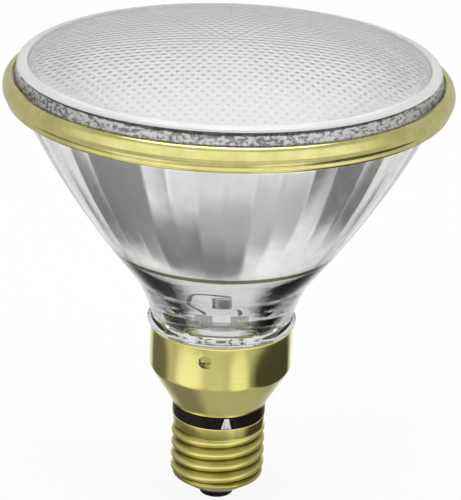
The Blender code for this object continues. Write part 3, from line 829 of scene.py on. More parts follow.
@dataclass(frozen=True)
class Landmarks:
    """Heights and radii where the bulb's pieces meet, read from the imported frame."""

    insulator_base: float
    shell_base: float
    shell_top: float
    skirt_base: float
    skirt_top: float
    skirt_radius: float
    neck_base: float
    flange_top: float
    flange_radius: float
    band_base: float
    band_top: float
    band_radius: float
    lens_flange_base: float
    lens_top: float

    @classmethod
    def read(cls) -> "Landmarks":
        """Measures the CAD nodes."""
        nodes = ("screw_shell", "skirt", "reflector", "sealing_ring", "front_lens")
        shell, skirt, reflector, band, lens = (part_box(node) for node in nodes)
        return cls(
            insulator_base=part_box("base_insulator")[0].z,
            shell_base=shell[0].z,
            shell_top=shell[1].z,
            skirt_base=skirt[0].z,
            skirt_top=skirt[1].z,
            skirt_radius=skirt[1].x,
            neck_base=reflector[0].z,
            flange_top=reflector[1].z,
            flange_radius=reflector[1].x,
            band_base=band[0].z,
            band_top=band[1].z,
            band_radius=band[1].x,
            lens_flange_base=lens[0].z,
            lens_top=lens[1].z,
        )


@dataclass
class Workshop:
    """Turns bmeshes into finished pieces that ride on the bulb."""

    weld: float = 1e-7
    made: list[bpy.types.Object] = field(default_factory=list)

    def piece(
        self,
        name: str,
        shape: BMesh,
        slot: Slot,
        materials: Sequence[bpy.types.Material],
        replaces: Iterable[str] = (),
        sharp: float = 35.0,
    ) -> bpy.types.Object:
        """Makes an object of a bmesh and hangs it on the frame.

        Args:
            name: The piece's name.
            shape: The bmesh, which is freed.
            slot: The record's slot for the piece; not used.
            materials: Its materials, in the order of its faces' indices.
            replaces: CAD nodes that it stands for.
            sharp: Angle in degrees from which an edge stays sharp.

        Returns:
            The new object.
        """
        bmesh.ops.remove_doubles(shape, verts=shape.verts, dist=self.weld)
        bmesh.ops.recalc_face_normals(shape, faces=shape.faces)
        piece = object_of(name, shape, *materials)
        smooth(piece.data, sharp)
        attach(piece, BODY)
        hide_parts(*replaces)
        self.made.append(piece)
        faces = len(piece.data.polygons)
        LOG.info("%s: %d faces, stands for %s", name, faces, ", ".join(replaces))
        return piece

    def combine(
        self,
        target: bpy.types.Object,
        steps: Sequence[tuple[bpy.types.Object, str]],
        sharp: float,
    ) -> None:
        """Applies Booleans to a piece and removes the objects that they read.

        Args:
            target: The piece to change.
            steps: Each other object, with DIFFERENCE or UNION.
            sharp: Angle in degrees from which an edge stays sharp.
        """
        for other, operation in steps:
            modifier = target.modifiers.new(other.name, "BOOLEAN")
            modifier.operation = operation
            modifier.object = other
            modifier.solver = "EXACT"
        evaluated = target.evaluated_get(bpy.context.evaluated_depsgraph_get())
        mesh = bpy.data.meshes.new_from_object(evaluated)
        target.modifiers.clear()
        target.data = mesh
        smooth(mesh, sharp)
        for other, _ in steps:
            bpy.data.objects.remove(other, do_unlink=True)

    def dress(
        self, frame: Mapping[str, object], node: str, slot: Slot, material: bpy.types.Material
    ) -> None:
        """Gives a CAD node that stays in view its finish."""
        target = frame["nodes"][node]
        target.data.materials.clear()
        target.data.materials.append(material)
        LOG.info("%s: CAD node, dressed in %s", node, material.name)


@dataclass
class Maker:
    """What the makers of the outer pieces share."""

    marks: Landmarks
    finishes: Finishes
    shop: Workshop


@dataclass
class ScrewBase(Maker):
    """The threaded shell, its black insulator, the ring above it and the solder of both contacts."""

    thread_radius: float = 13.1 * MM
    thread_depth: float = 1.05 * MM
    thread_pitch: float = 3.629 * MM
    thread_runout: float = 1.2 * MM
    crest_below_top: float = 5.6 * MM
    collar_height: float = 3.0 * MM
    cone_height: float = 5.3 * MM
    cone_round: float = 0.75 * MM
    shell_wall: float = 0.45 * MM
    nose_radius: float = 4.75 * MM
    nose_round: float = 0.7 * MM
    ring_wall: float = 2.1 * MM
    ring_collar: float = 2.7 * MM
    contact_azimuth: float = -80.0
    contact_foot: float = 3.4 * MM
    contact_tip: float = 1.4 * MM
    contact_proud: float = 0.5 * MM
    contact_face: float = 2.0 * MM
    plate_radius: float = 3.2 * MM
    plate_wall: float = 0.5 * MM
    shell_lip: float = 0.25 * MM
    edge_round: float = 0.3 * MM
    edge_rise: float = 0.1 * MM
    insulator_bore: float = 1.6 * MM
    ring_round: float = 0.2 * MM
    solder_cuts: int = 5
    solder_passes: int = 3
    solder_softness: float = 0.4
    solder_core: float = 0.7 * MM
    button_columns: int = 40
    ring_sharp: float = 35.0
    solder_sharp: float = 80.0
    columns: int = 112
    rows_per_turn: int = 14

    def build(self) -> None:
        """Makes every piece of the base."""
        self.build_shell()
        self.build_insulator()
        self.build_ring()
        self.build_side_solder()
        self.build_end_solder()

    def shell_path(self) -> list[Point]:
        """The shell's outer side, from its top edge down to the hole round the insulator."""
        marks = self.marks
        edge = self.nose_radius + FIT + self.shell_wall
        collar = self.thread_radius - self.thread_depth / 4
        cone_top = marks.shell_base + self.cone_height
        thread_top = marks.shell_top - self.collar_height
        lip = self.shell_lip
        path = [(collar - lip * 0.6, marks.shell_top), (collar, marks.shell_top - lip)]
        rows = math.ceil((thread_top - cone_top) / self.thread_pitch * self.rows_per_turn)
        path += [(collar, thread_top + (cone_top - thread_top) * row / rows) for row in range(rows + 1)]
        foot = (edge, marks.shell_base)
        knee = (collar - self.cone_round / 2, cone_top - self.cone_round)
        path += rounded(knee, path[-1], foot, self.cone_round * 0.6, 4)
        hem = (edge + self.edge_round, marks.shell_base + self.edge_rise)
        path += rounded(hem, path[-1], foot, self.edge_round, 3)
        return path

    def thread_wave(self, angle: float, height: float) -> float:
        """How far the rolled thread moves the shell in or out here."""
        low = self.marks.shell_base + self.cone_height - self.thread_runout / 2
        high = self.marks.shell_top - self.collar_height + self.thread_runout / 2
        fade = min((height - low) / self.thread_runout, (high - height) / self.thread_runout, 1.0)
        if fade <= 0:
            return 0.0
        turns = (height - self.marks.shell_top + self.crest_below_top) / self.thread_pitch
        phase = turns - (angle - math.pi) / (2 * math.pi)
        return fade * (math.cos(2 * math.pi * phase) * self.thread_depth / 2 - self.thread_depth / 4)

    def build_shell(self) -> None:
        """The brass shell with its rolled right-handed thread."""
        path = self.shell_path()
        inner = offset(path, -self.shell_wall)
        shape = bmesh.new()
        turn(shape, path + inner[::-1], self.columns, closed=True)
        for vert in shape.verts:
            across = math.hypot(vert.co.x, vert.co.y)
            wave = self.thread_wave(math.atan2(vert.co.y, vert.co.x), vert.co.z)
            vert.co.x *= (across + wave) / across
            vert.co.y *= (across + wave) / across
        brass = [self.finishes.thread_brass]
        self.shop.piece("threaded_shell", shape, Slot.BRASS, brass, ["screw_shell"])

    def build_insulator(self) -> None:
        """The black glass plug with its rounded nose."""
        marks = self.marks
        low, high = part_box("base_insulator")
        body_radius = self.thread_radius - self.thread_depth - self.shell_wall - FIT * 2
        edge = self.nose_radius + FIT + self.shell_wall
        collar = self.thread_radius - self.thread_depth / 4
        slope = (self.cone_height - self.cone_round) / (collar - self.cone_round / 2 - edge)
        foot = marks.shell_base + self.shell_wall * 0.9
        shoulder = foot + (body_radius - self.nose_radius) * slope
        nose = self.nose_round
        path = [(self.plate_radius + FIT, low.z + self.plate_wall + FIT), (self.plate_radius + FIT, low.z)]
        path += arc((self.nose_radius - nose, low.z + nose), nose, -90.0, 0.0, 5)
        path += [(self.nose_radius, foot), (body_radius, shoulder + FIT), (body_radius, high.z)]
        bore = self.insulator_bore
        path += [(bore, high.z), (bore, low.z + self.plate_wall + FIT)]
        shape = bmesh.new()
        turn(shape, path, self.columns // 2, closed=True)
        black = [self.finishes.black]
        self.shop.piece("insulator_nose", shape, Slot.BLACK_INSULATOR, black, ["base_insulator"])

    def ring_section(self) -> tuple[float, float, float, float, float]:
        """The ring's face, collar and bore radii and the heights of its two faces."""
        collar = self.thread_radius - self.thread_depth / 4 - self.shell_wall - FIT
        face = self.thread_radius - FIT / 2
        bore = collar - self.ring_wall + FIT
        return face, collar, bore, self.marks.shell_top + FIT, self.marks.skirt_base - FIT

    def wedge(self, grow: float, inner: float, outer: float, base: float, top: float) -> BMesh:
        """A block on the side contact's azimuth, wide at its foot and narrow at its tip."""
        shape = bmesh.new()
        bmesh.ops.create_cube(shape, size=1.0)
        for vert in shape.verts:
            width = self.contact_foot if vert.co.z < 0 else self.contact_tip
            vert.co.x *= width + 2 * grow
            vert.co.y = -outer if vert.co.y < 0 else -inner
            vert.co.z = base if vert.co.z < 0 else top
        shape.transform(Matrix.Rotation(math.radians(self.contact_azimuth + 90.0), 4, "Z"))
        return shape

    def build_ring(self) -> None:
        """The black ring between the shell and the skirt, notched for the solder."""
        face, collar, bore, base, top = self.ring_section()
        soft = self.ring_round
        foot, head = base - self.ring_collar / 2, top + self.ring_collar
        path = [(collar, foot), (collar, base), (face - soft, base)]
        path += [(face, base + soft), (face, top - soft), (face - soft, top), (collar, top)]
        path += [(collar, head), (bore, head), (bore, foot)]
        shape = bmesh.new()
        turn(shape, path, self.columns, closed=True)
        black = [self.finishes.black]
        ring = self.shop.piece("black_ring", shape, Slot.BLACK_INSULATOR, black, ["insulating_ring"])
        notch = self.wedge(FIT, bore - self.shell_wall, face + self.ring_wall, base - FIT, top + FIT)
        self.shop.combine(ring, [(object_of("notch", notch), "DIFFERENCE")], self.ring_sharp)

    def build_side_solder(self) -> None:
        """The run of solder in the notch, smooth and slightly slumped."""
        low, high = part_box("side_solder")
        inner = self.thread_radius - self.ring_wall + FIT
        shape = self.wedge(0.0, inner, self.thread_radius + self.contact_proud, low.z, high.z)
        bmesh.ops.subdivide_edges(
            shape, edges=shape.edges[:], cuts=self.solder_cuts, use_grid_fill=True
        )
        for _ in range(self.solder_passes):
            bmesh.ops.smooth_vert(
                shape,
                verts=shape.verts,
                factor=self.solder_softness,
                use_axis_x=True,
                use_axis_y=True,
                use_axis_z=True,
            )
        solder = [self.finishes.solder]
        nodes, sharp = ["side_solder"], self.solder_sharp
        self.shop.piece("side_solder_run", shape, Slot.SOLDER, solder, nodes, sharp)

    def build_end_solder(self) -> None:
        """The solder button of the end contact."""
        low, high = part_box("contact_solder")
        top = self.marks.insulator_base - FIT
        core, edge = self.solder_core, (self.contact_face, top)
        path = [(0.0, low.z), (self.contact_face * 0.9, low.z)]
        bulge = (self.contact_face + top, low.z + top * 0.4)
        path += rounded(bulge, path[-1], edge, top * 0.4, 5)
        path += [edge, (core, top), (core, high.z - FIT), (0.0, high.z)]
        shape = bmesh.new()
        turn(shape, path, self.button_columns)
        solder = [self.finishes.solder]
        self.shop.piece("end_solder", shape, Slot.SOLDER, solder, ["contact_solder"])


@dataclass
class Skirt(Maker):
    """The drawn brass skirt with its rim turned in and lanced tongues."""

    wall: float = 0.5 * MM
    bend_height: float = 10.9 * MM
    bend_radius: float = 2.5 * MM
    lip_height: float = 1.3 * MM
    lip_radius: float = 13.25 * MM
    rim_turn: float = 0.4 * MM
    tongue_count: int = 3
    tongue_azimuth: float = -102.0
    tongue_below_rim: float = 4.5 * MM
    hole_radius: float = 1.9 * MM
    tongue_width: float = 2.4 * MM
    tongue_length: float = 3.0 * MM
    tongue_root: float = 0.1 * MM
    tongue_depth: float = 1.2 * MM
    sharp: float = 40.0
    columns: int = 144

    def path(self) -> list[Point]:
        """The outer side, from the turned-in rim down to the lip."""
        marks = self.marks
        bend = marks.skirt_base + self.bend_height
        lip_top = marks.skirt_base + self.lip_height
        lip_out = self.lip_radius + self.lip_height / 3
        cone = Vector((lip_out, lip_top)) - Vector((marks.skirt_radius, bend))
        cone_turn = 90.0 - math.degrees(math.atan2(-cone.y, -cone.x))
        tangent = self.bend_radius * math.tan(math.radians(cone_turn / 2))
        rim = self.rim_turn * 2
        path = arc((marks.skirt_radius - rim, marks.skirt_top - rim), rim, 75.0, 0.0, 6)
        path[0] = (path[0][0], marks.skirt_top)
        bend_middle = (marks.skirt_radius - self.bend_radius, bend + tangent)
        path += arc(bend_middle, self.bend_radius, 0.0, -cone_turn, 10)
        lip = (self.lip_radius, lip_top - self.lip_height / 2)
        path += rounded((lip_out, lip_top), path[-1], lip, 0.4 * MM)
        path += [lip, (self.lip_radius, marks.skirt_base)]
        return path

    def build(self) -> None:
        """Makes the skirt."""
        path = self.path()
        inner = offset(path, -self.wall)
        inner[-1] = (inner[-1][0], self.marks.skirt_base)
        shape = bmesh.new()
        turn(shape, path + inner[::-1], self.columns, closed=True)
        skirt = self.shop.piece("brass_skirt", shape, Slot.BRASS, [self.finishes.brass], ["skirt"])
        radius = self.marks.skirt_radius - self.wall / 2
        height = self.marks.skirt_top - self.tongue_below_rim
        steps = []
        for index, place in enumerate(around(self.tongue_count, self.tongue_azimuth, radius, height)):
            hole = rod(self.hole_radius, self.wall * 8, place @ QUARTER_TURN)
            steps.append((object_of(f"hole_{index}", hole), "DIFFERENCE"))
            steps.append((object_of(f"tongue_{index}", self.tongue(place)), "UNION"))
        self.shop.combine(skirt, steps, self.sharp)

    def tongue(self, place: Matrix) -> BMesh:
        """The tongue that the lance bends in from the top of its hole."""
        shape = bmesh.new()
        bmesh.ops.create_cube(shape, size=1.0)
        hinge = Matrix.Translation((0.0, 0.0, self.hole_radius + self.tongue_root))
        tilt = Matrix.Rotation(math.atan2(self.tongue_depth, self.tongue_length), 4, "X")
        drop = Matrix.Translation((0.0, 0.0, -self.tongue_length / 2))
        size = Matrix.Diagonal((self.tongue_width, self.wall * 0.9, self.tongue_length, 1.0))
        shape.transform(place @ hinge @ tilt @ drop @ size)
        return shape


@dataclass
class PressedReflector(Maker):
    """The pressed glass bowl, with its heel and neck, and the silver coat on its fluted inner face."""

    bowl_height: float = 50.0 * MM
    heel_length: float = 14.0 * MM
    heel_radius: float = 24.0 * MM
    heel_middle_radius: float = 21.24 * MM
    waist_radius: float = 19.4 * MM
    heel_round: float = 1.0 * MM
    bowl_bulge: float = 2.1 * MM
    wall: float = 3.2 * MM
    mouth_radius: float = 55.6 * MM
    throat_radius: float = 57.225 * MM
    bead_proud: float = 1.0 * MM
    bead_height: float = 2.4 * MM
    neck_radius: float = 18.4 * MM
    neck_wall: float = 2.8 * MM
    floor_radius: float = 12.6 * MM
    floor_rise: float = 2.6 * MM
    floor_thickness: float = 4.0 * MM
    cup_step: float = 0.6 * MM
    tip_radius: float = 2.2 * MM
    tip_length: float = 4.0 * MM
    flute_count: int = 44
    columns_per_flute: int = 8
    flute_fade_low: float = 8.0 * MM
    flute_fade_high: float = 26.0 * MM
    coat_edge: float = 9.4 * MM
    coat_stripe: float = 10.4 * MM
    bowl_rows: int = 40
    row_crowding: float = 1.4
    bowl_reach: float = 0.985
    flange_step: float = 0.9 * MM
    ferrule_spacing: float = 16.0 * MM
    ferrule_hole: float = 2.4 * MM
    pocket_count: int = 3
    pocket_azimuth: float = -102.0
    pocket_below_rim: float = 4.5 * MM
    pocket_radius: float = 2.6 * MM
    pocket_depth: float = 1.5 * MM
    sharp: float = 30.0

    @property
    def heel_top(self) -> float:
        """Height of the corner between heel and bowl."""
        return self.marks.skirt_top + self.heel_length

    @property
    def floor_top(self) -> float:
        """Height of the cup's floor."""
        return self.marks.skirt_top + self.floor_rise

    def bowl_point(self, share: float) -> Point:
        """A point on the outer bowl, from the heel at 0 to the mouth at 1."""
        straight = self.heel_radius + (self.mouth_radius - self.heel_radius) * share
        bulge = 4 * self.bowl_bulge * share * (1 - share)
        return straight + bulge, self.heel_top + self.bowl_height * share

    @staticmethod
    def parabola(low: Point, high: Point, share: float) -> Point:
        """A point on the paraboloid through two points."""
        radius = math.sqrt(low[0] ** 2 + (high[0] ** 2 - low[0] ** 2) * share)
        return radius, low[1] + (high[1] - low[1]) * share

    def outer_path(self) -> list[Point]:
        """The clear outer side, from the flange's top edge down and round to the floor's middle."""
        marks = self.marks
        flange_base = marks.band_base + self.flange_step
        path = [(marks.flange_radius, marks.flange_top), (marks.flange_radius, flange_base)]
        path += [(self.throat_radius, flange_base), (self.throat_radius, marks.band_base)]
        steps = range(self.bowl_rows, 0, -1)
        path += [self.bowl_point(self.bowl_reach * step / self.bowl_rows) for step in steps]
        bead_radius = marks.skirt_radius + self.bead_proud
        bead_base = marks.skirt_top + FIT
        waist_height = bead_base + self.bead_height
        heel_middle = (self.heel_middle_radius, (waist_height + self.heel_top) / 2)
        path += rounded((self.heel_radius, self.heel_top), path[-1], heel_middle, self.heel_round, 6)
        path += flow([path[-1], heel_middle, (self.waist_radius, waist_height)], 6)[1:]
        bead = [
            (self.waist_radius, waist_height),
            (bead_radius - self.bead_proud * 0.3, bead_base + self.bead_height * 0.65),
            (bead_radius, bead_base + self.bead_height * 0.35),
            (bead_radius - self.bead_proud * 0.4, bead_base),
        ]
        path += flow(bead, 4)[1:]
        neck_bore = self.neck_radius - self.neck_wall
        floor_base = self.floor_top - self.floor_thickness
        tip_base = floor_base - self.tip_length
        path += [(self.neck_radius, bead_base), (self.neck_radius, marks.neck_base)]
        path.append((neck_bore, marks.neck_base))
        path += rounded((neck_bore, floor_base), path[-1], (0.0, floor_base), 1.0 * MM)
        path += rounded((self.tip_radius, floor_base), path[-1], (self.tip_radius, tip_base), 0.8 * MM)
        path += arc((0.0, tip_base + self.tip_radius), self.tip_radius, 0.0, -90.0, 6)
        path[-1] = (0.0, tip_base)
        return path

    def mirror_path(self) -> list[Point]:
        """The silvered inner side, from the floor's middle up through the cup and the bowl."""
        marks = self.marks
        heel = (self.heel_radius - self.wall, self.heel_top)
        mouth = (self.mouth_radius - self.wall, self.heel_top + self.bowl_height)
        floor = (self.floor_radius, self.floor_top)
        rim = (heel[0] - self.cup_step, self.heel_top - self.cup_step)
        path = [(0.0, self.floor_top), (self.floor_radius - 1.0 * MM, self.floor_top)]
        path += [self.parabola(floor, rim, step / 10) for step in range(11)]
        shares = [(step / self.bowl_rows) ** self.row_crowding for step in range(self.bowl_rows + 1)]
        path += [self.parabola(heel, mouth, share) for share in shares]
        path.append((mouth[0] + FIT * 2, marks.flange_top))
        return path

    def flute(self, shape: BMesh) -> None:
        """Flattens the silvered bowl between upright ridges. The relief fades out towards the heel."""
        step = 2 * math.pi / self.flute_count
        silvered = [face for face in shape.faces if face.material_index == BowlFace.SILVERED]
        mirror = {vert for face in silvered for vert in face.verts}
        low = self.heel_top + self.flute_fade_low
        high = self.heel_top + self.flute_fade_high
        for vert in mirror:
            fade = smoothstep(low, high, vert.co.z)
            if fade == 0.0:
                continue
            angle = math.atan2(vert.co.y, vert.co.x) % step - step / 2
            factor = 1.0 + (math.cos(step / 2) / math.cos(angle) - 1.0) * fade
            vert.co.x *= factor
            vert.co.y *= factor

    def build(self) -> None:
        """Makes the reflector, clear outside and silvered inside."""
        shape = bmesh.new()
        columns = self.flute_count * self.columns_per_flute
        turn(shape, self.outer_path(), columns, BowlFace.CLEAR)
        turn(shape, self.mirror_path(), columns, BowlFace.SILVERED)
        top_outer = (self.marks.flange_radius, self.marks.flange_top)
        top_inner = self.mirror_path()[-1]
        turn(shape, [top_inner, top_outer], columns, BowlFace.CLEAR)
        self.flute(shape)
        coat_edge = self.heel_top + self.coat_edge
        for face in shape.faces:
            height = face.calc_center_median().z
            if face.material_index == BowlFace.SILVERED and height < coat_edge:
                above_floor = height > self.floor_top + FIT
                face.material_index = BowlFace.THINLY_COATED if above_floor else BowlFace.CLEAR
        coats = [
            Silvering(self.heel_top + self.coat_stripe).material(),
            ThinCoat(self.floor_top, coat_edge).material(),
        ]
        bowl = self.shop.piece(
            "fluted_reflector",
            shape,
            Slot.REFLECTOR_GLASS,
            [self.finishes.pressed_glass, *coats],
            ["reflector"],
            self.sharp,
        )
        steps = [(cutter, "DIFFERENCE") for cutter in self.cutters()]
        self.shop.combine(bowl, steps, self.sharp)

    def cutters(self) -> list[bpy.types.Object]:
        """The rods that cut the ferrule holes in the floor and the tongue pockets in the neck."""
        floor_middle = self.floor_top - self.floor_thickness / 2
        made = []
        for side in (-1, 1):
            place = Matrix.Translation((side * self.ferrule_spacing / 2, 0.0, floor_middle))
            hole = rod(self.ferrule_hole, self.floor_thickness * 2, place)
            made.append(object_of(f"ferrule_hole_{side}", hole))
        height = self.marks.skirt_top - self.pocket_below_rim
        places = around(self.pocket_count, self.pocket_azimuth, self.neck_radius, height)
        for index, place in enumerate(places):
            pocket = rod(self.pocket_radius, self.pocket_depth * 2, place @ QUARTER_TURN)
            made.append(object_of(f"pocket_{index}", pocket))
        return made


@dataclass
class SealingRing(Maker):
    """The rolled gold-coloured band that grips both glass flanges."""

    wall: float = 0.6 * MM
    lip: float = 2.5 * MM
    groove: float = 1.1 * MM
    sharp: float = 50.0
    columns: int = 288

    def build(self) -> None:
        """Makes the band."""
        marks = self.marks
        height = marks.band_top - marks.band_base
        lip = marks.band_radius - self.lip
        section = [
            (lip, marks.band_top),
            (marks.band_radius - height * 0.16, marks.band_top - self.wall * 0.4),
            (marks.band_radius - height * 0.04, marks.band_top - height * 0.22),
            (marks.band_radius, marks.band_base + height * 0.52),
            (marks.band_radius - self.groove * 0.3, marks.band_base + height * 0.33),
            (marks.band_radius - self.groove, marks.band_base + height * 0.24),
            (marks.band_radius - self.groove * 0.9, marks.band_base + height * 0.10),
            (marks.band_radius - self.groove * 1.5, marks.band_base),
            (lip, marks.band_base),
        ]
        path = flow(section, 5)
        inner = offset(path, -self.wall)
        shape = bmesh.new()
        turn(shape, path + inner[::-1], self.columns, closed=True)
        gold = [self.finishes.gold]
        self.shop.piece("gold_ring", shape, Slot.GOLD_BAND, gold, ["sealing_ring"], self.sharp)


@dataclass
class FrontLens(Maker):
    """The domed cover glass with a plain border and rows of small lenses pressed into its inner face."""

    wall_height: float = 3.6 * MM
    wall_draft: float = 1.2 * MM
    thickness: float = 3.4 * MM
    border: float = 2.5 * MM
    edge_round: float = 0.7 * MM
    rim_depth: float = 0.9 * MM
    wall_foot: float = 57.525 * MM
    foot_drop: float = 0.6 * MM
    flange_drop: float = 0.9 * MM
    inner_foot: float = 53.3 * MM
    lenslet_row: float = 2.3 * MM
    lenslet_height: float = 0.12 * MM
    lenslet_fade: float = 3.0 * MM
    dome_tolerance: float = 0.01 * MM
    sharp: float = 40.0
    columns: int = 576
    inner_rows: int = 100
    outer_rows: int = 20

    def build(self) -> None:
        """Makes the lens."""
        marks = self.marks
        shoulder = marks.band_top + self.wall_height
        flange_top = marks.band_top - self.flange_drop
        wall_top = self.wall_foot - self.wall_draft
        border_inner = wall_top - self.border
        border_rise = self.border * 0.12
        dome_rise = marks.lens_top - shoulder - border_rise
        sphere = (border_inner**2 + dome_rise**2) / (2 * dome_rise)
        middle = (0.0, marks.lens_top - sphere)
        half = math.degrees(math.asin(border_inner / sphere))
        inner_radius = border_inner - self.thickness * 0.35
        inner_sphere = sphere - self.thickness
        inner_half = math.degrees(math.asin(inner_radius / inner_sphere))
        outer = arc(middle, sphere, 90.0, 90.0 - half, self.outer_rows)
        outer[0] = (0.0, marks.lens_top)
        foot = (self.wall_foot, marks.band_top)
        outer += rounded((wall_top, shoulder), outer[-1], foot, self.edge_round, 5)
        outer += [(self.wall_foot, marks.band_top - self.foot_drop), (self.wall_foot, flange_top)]
        outer += [(marks.flange_radius, flange_top), (marks.flange_radius, marks.lens_flange_base)]
        inner = arc(middle, inner_sphere, 90.0 - inner_half, 90.0, self.inner_rows)
        inner[-1] = (0.0, marks.lens_top - self.thickness)
        foot_top = inner[0][1] - self.thickness * 0.4
        outer += [(self.inner_foot, marks.lens_flange_base), (self.inner_foot, foot_top)]
        shape = bmesh.new()
        turn(shape, outer + inner, self.columns)
        self.press_lenslets(shape, middle, inner_sphere, inner_radius)
        wall_base, rim_base = marks.band_top - FIT * 3, shoulder - self.rim_depth
        for face in shape.faces:
            place = face.calc_center_median()
            across = math.hypot(place.x, place.y)
            off_dome = abs(math.hypot(across, place.z - middle[1]) - inner_sphere)
            if wall_base < place.z < rim_base and across > wall_top:
                face.material_index = LensFace.WALL
            elif across < inner_radius and off_dome < FIT:
                face.material_index = LensFace.INNER_DOME
            elif place.z > rim_base and across > border_inner:
                face.material_index = LensFace.RIM
        glasses = {
            LensFace.BODY: self.finishes.lens_glass,
            LensFace.WALL: self.finishes.stippled_glass,
            LensFace.INNER_DOME: LensletGlass(self.lenslet_row, inner_radius).material(),
            LensFace.RIM: self.finishes.rim_glass,
        }
        ordered = [glasses[index] for index in sorted(glasses)]
        self.shop.piece("domed_lens", shape, Slot.LENS_GLASS, ordered, ["front_lens"], self.sharp)

    def press_lenslets(self, shape: BMesh, middle: Point, sphere: float, reach: float) -> None:
        """Raises a hexagonal field of small lenses on the inner dome.

        Args:
            shape: The lens.
            middle: Middle of the inner dome.
            sphere: Radius of the inner dome.
            reach: Radius where the field ends.
        """
        wave = 2 * math.pi / self.lenslet_row
        directions = [Vector((math.cos(turned), math.sin(turned))) for turned in LENSLET_TURNS]
        for vert in shape.verts:
            across = math.hypot(vert.co.x, vert.co.y)
            from_middle = math.hypot(across, vert.co.z - middle[1])
            if abs(from_middle - sphere) > self.dome_tolerance or across > reach:
                continue
            place = Vector((vert.co.x, vert.co.y))
            crest = sum(math.cos(wave * place.dot(direction)) for direction in directions) / 3
            fade = smoothstep(reach, reach - self.lenslet_fade, across)
            share = (crest + LENSLET_TROUGH) / (1 + LENSLET_TROUGH)
            vert.co.z -= self.lenslet_height * share * fade


@dataclass
class Capsule:
    """The quartz capsule and the coil in it."""

    finishes: Finishes
    shop: Workshop
    wall: float = 0.9 * MM
    radius: float = 5.7 * MM
    tip_radius: float = 1.2 * MM
    pinch_height: float = 6.5 * MM
    pinch_shoulder: float = 2.9 * MM
    slot_wide: float = 3.9 * MM
    slot_thick: float = 0.6 * MM
    side_wall: float = 1.2 * MM
    face_wall: float = 1.0 * MM
    coil_radius: float = 1.1 * MM
    coil_wire: float = 0.2 * MM
    coil_turns: int = 11
    coil_steps: int = 20
    coil_sides: int = 8
    columns: int = 64

    def build(self) -> None:
        """Makes the envelope and the coil."""
        self.build_envelope()
        self.build_coil()

    def build_envelope(self) -> None:
        """The quartz tube, domed and tipped above and pinched below."""
        low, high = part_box("capsule_envelope")
        base = low.z
        pinch_top = base + self.pinch_height
        shoulder = pinch_top + self.pinch_shoulder
        body_top = high.z - self.radius - self.tip_radius * 1.4
        bore = self.radius - self.wall
        outer = flow([(self.radius, pinch_top), (self.radius, shoulder)], 6)
        outer = [(self.radius, base), (self.radius, pinch_top - self.wall)] + outer
        dome = arc((0.0, body_top), self.radius, 0.0, 72.0, 12)
        tip = [dome[-1], (self.tip_radius, high.z - self.tip_radius)]
        tip += [(self.tip_radius * 0.6, high.z), (0.0, high.z)]
        outer += dome[:-1] + flow(tip, 3)
        outer[-1] = (0.0, high.z)
        inner = arc((0.0, body_top), bore, 90.0, 0.0, 12)
        inner[0] = (0.0, body_top + bore)
        inner += flow([(bore, shoulder), (bore, pinch_top)], 6)
        inner += [(bore, pinch_top - self.wall), (bore, base)]
        shape = bmesh.new()
        turn(shape, outer + inner, self.columns, closed=True)
        middle = (self.radius + bore) / 2
        for vert in shape.verts:
            squeeze = 1.0 - smoothstep(pinch_top - self.wall, shoulder, vert.co.z)
            across = math.hypot(vert.co.x, vert.co.y)
            if squeeze == 0.0 or across == 0.0:
                continue
            outside = across > middle
            wide = self.slot_wide + (self.side_wall if outside else 0.0)
            thick = self.slot_thick + (self.face_wall if outside else 0.0)
            flat_x = wide * math.copysign(math.sqrt(abs(vert.co.x / across)), vert.co.x)
            flat_y = thick * math.copysign(math.sqrt(abs(vert.co.y / across)), vert.co.y)
            vert.co.x += (flat_x - vert.co.x) * squeeze
            vert.co.y += (flat_y - vert.co.y) * squeeze
        self.shop.piece("quartz_capsule", shape, Slot.QUARTZ, [self.finishes.quartz], ["capsule_envelope"])

    def build_coil(self) -> None:
        """The tungsten coil, a small circle spun up a helix."""
        low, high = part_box("filament")
        rise = high.z - low.z - 2 * self.coil_wire
        steps = self.coil_turns * self.coil_steps
        shape = bmesh.new()
        start = Matrix.Translation((self.coil_radius, 0.0, low.z + self.coil_wire))
        bmesh.ops.create_circle(
            shape,
            cap_ends=True,
            segments=self.coil_sides,
            radius=self.coil_wire,
            matrix=start @ QUARTER_TURN,
        )
        bmesh.ops.spin(
            shape,
            geom=shape.faces[:],
            cent=(0, 0, 0),
            axis=(0, 0, 1),
            dvec=(0, 0, rise / steps),
            angle=2 * math.pi * self.coil_turns,
            steps=steps,
        )
        self.shop.piece("tungsten_coil", shape, Slot.TUNGSTEN, [self.finishes.tungsten], ["filament"])


@dataclass
class InnerMetalwork:
    """The CAD pieces inside the bulb that keep their shape and get their finish."""

    frame: Mapping[str, object]
    finishes: Finishes
    shop: Workshop

    def build(self) -> None:
        """Dresses each node."""
        paired = ("foil", "capsule_lead", "ferrule")
        nickel_nodes = [f"{part}_{side}" for part in paired for side in ("left", "right")]
        nickel_nodes += ["centre_lead", "side_lead"]
        rows: list[tuple[Slot, bpy.types.Material, list[str]]] = [
            (Slot.CEMENT, self.finishes.cement, ["flange_seal"]),
            (Slot.BRASS, self.finishes.brass, ["contact_plate"]),
            (Slot.TUNGSTEN, self.finishes.tungsten, ["filament_lead_long", "filament_lead_short"]),
            (Slot.NICKEL, self.finishes.nickel, nickel_nodes),
        ]
        for slot, material, nodes in rows:
            for node in nodes:
                self.shop.dress(self.frame, node, slot, material)


# The set


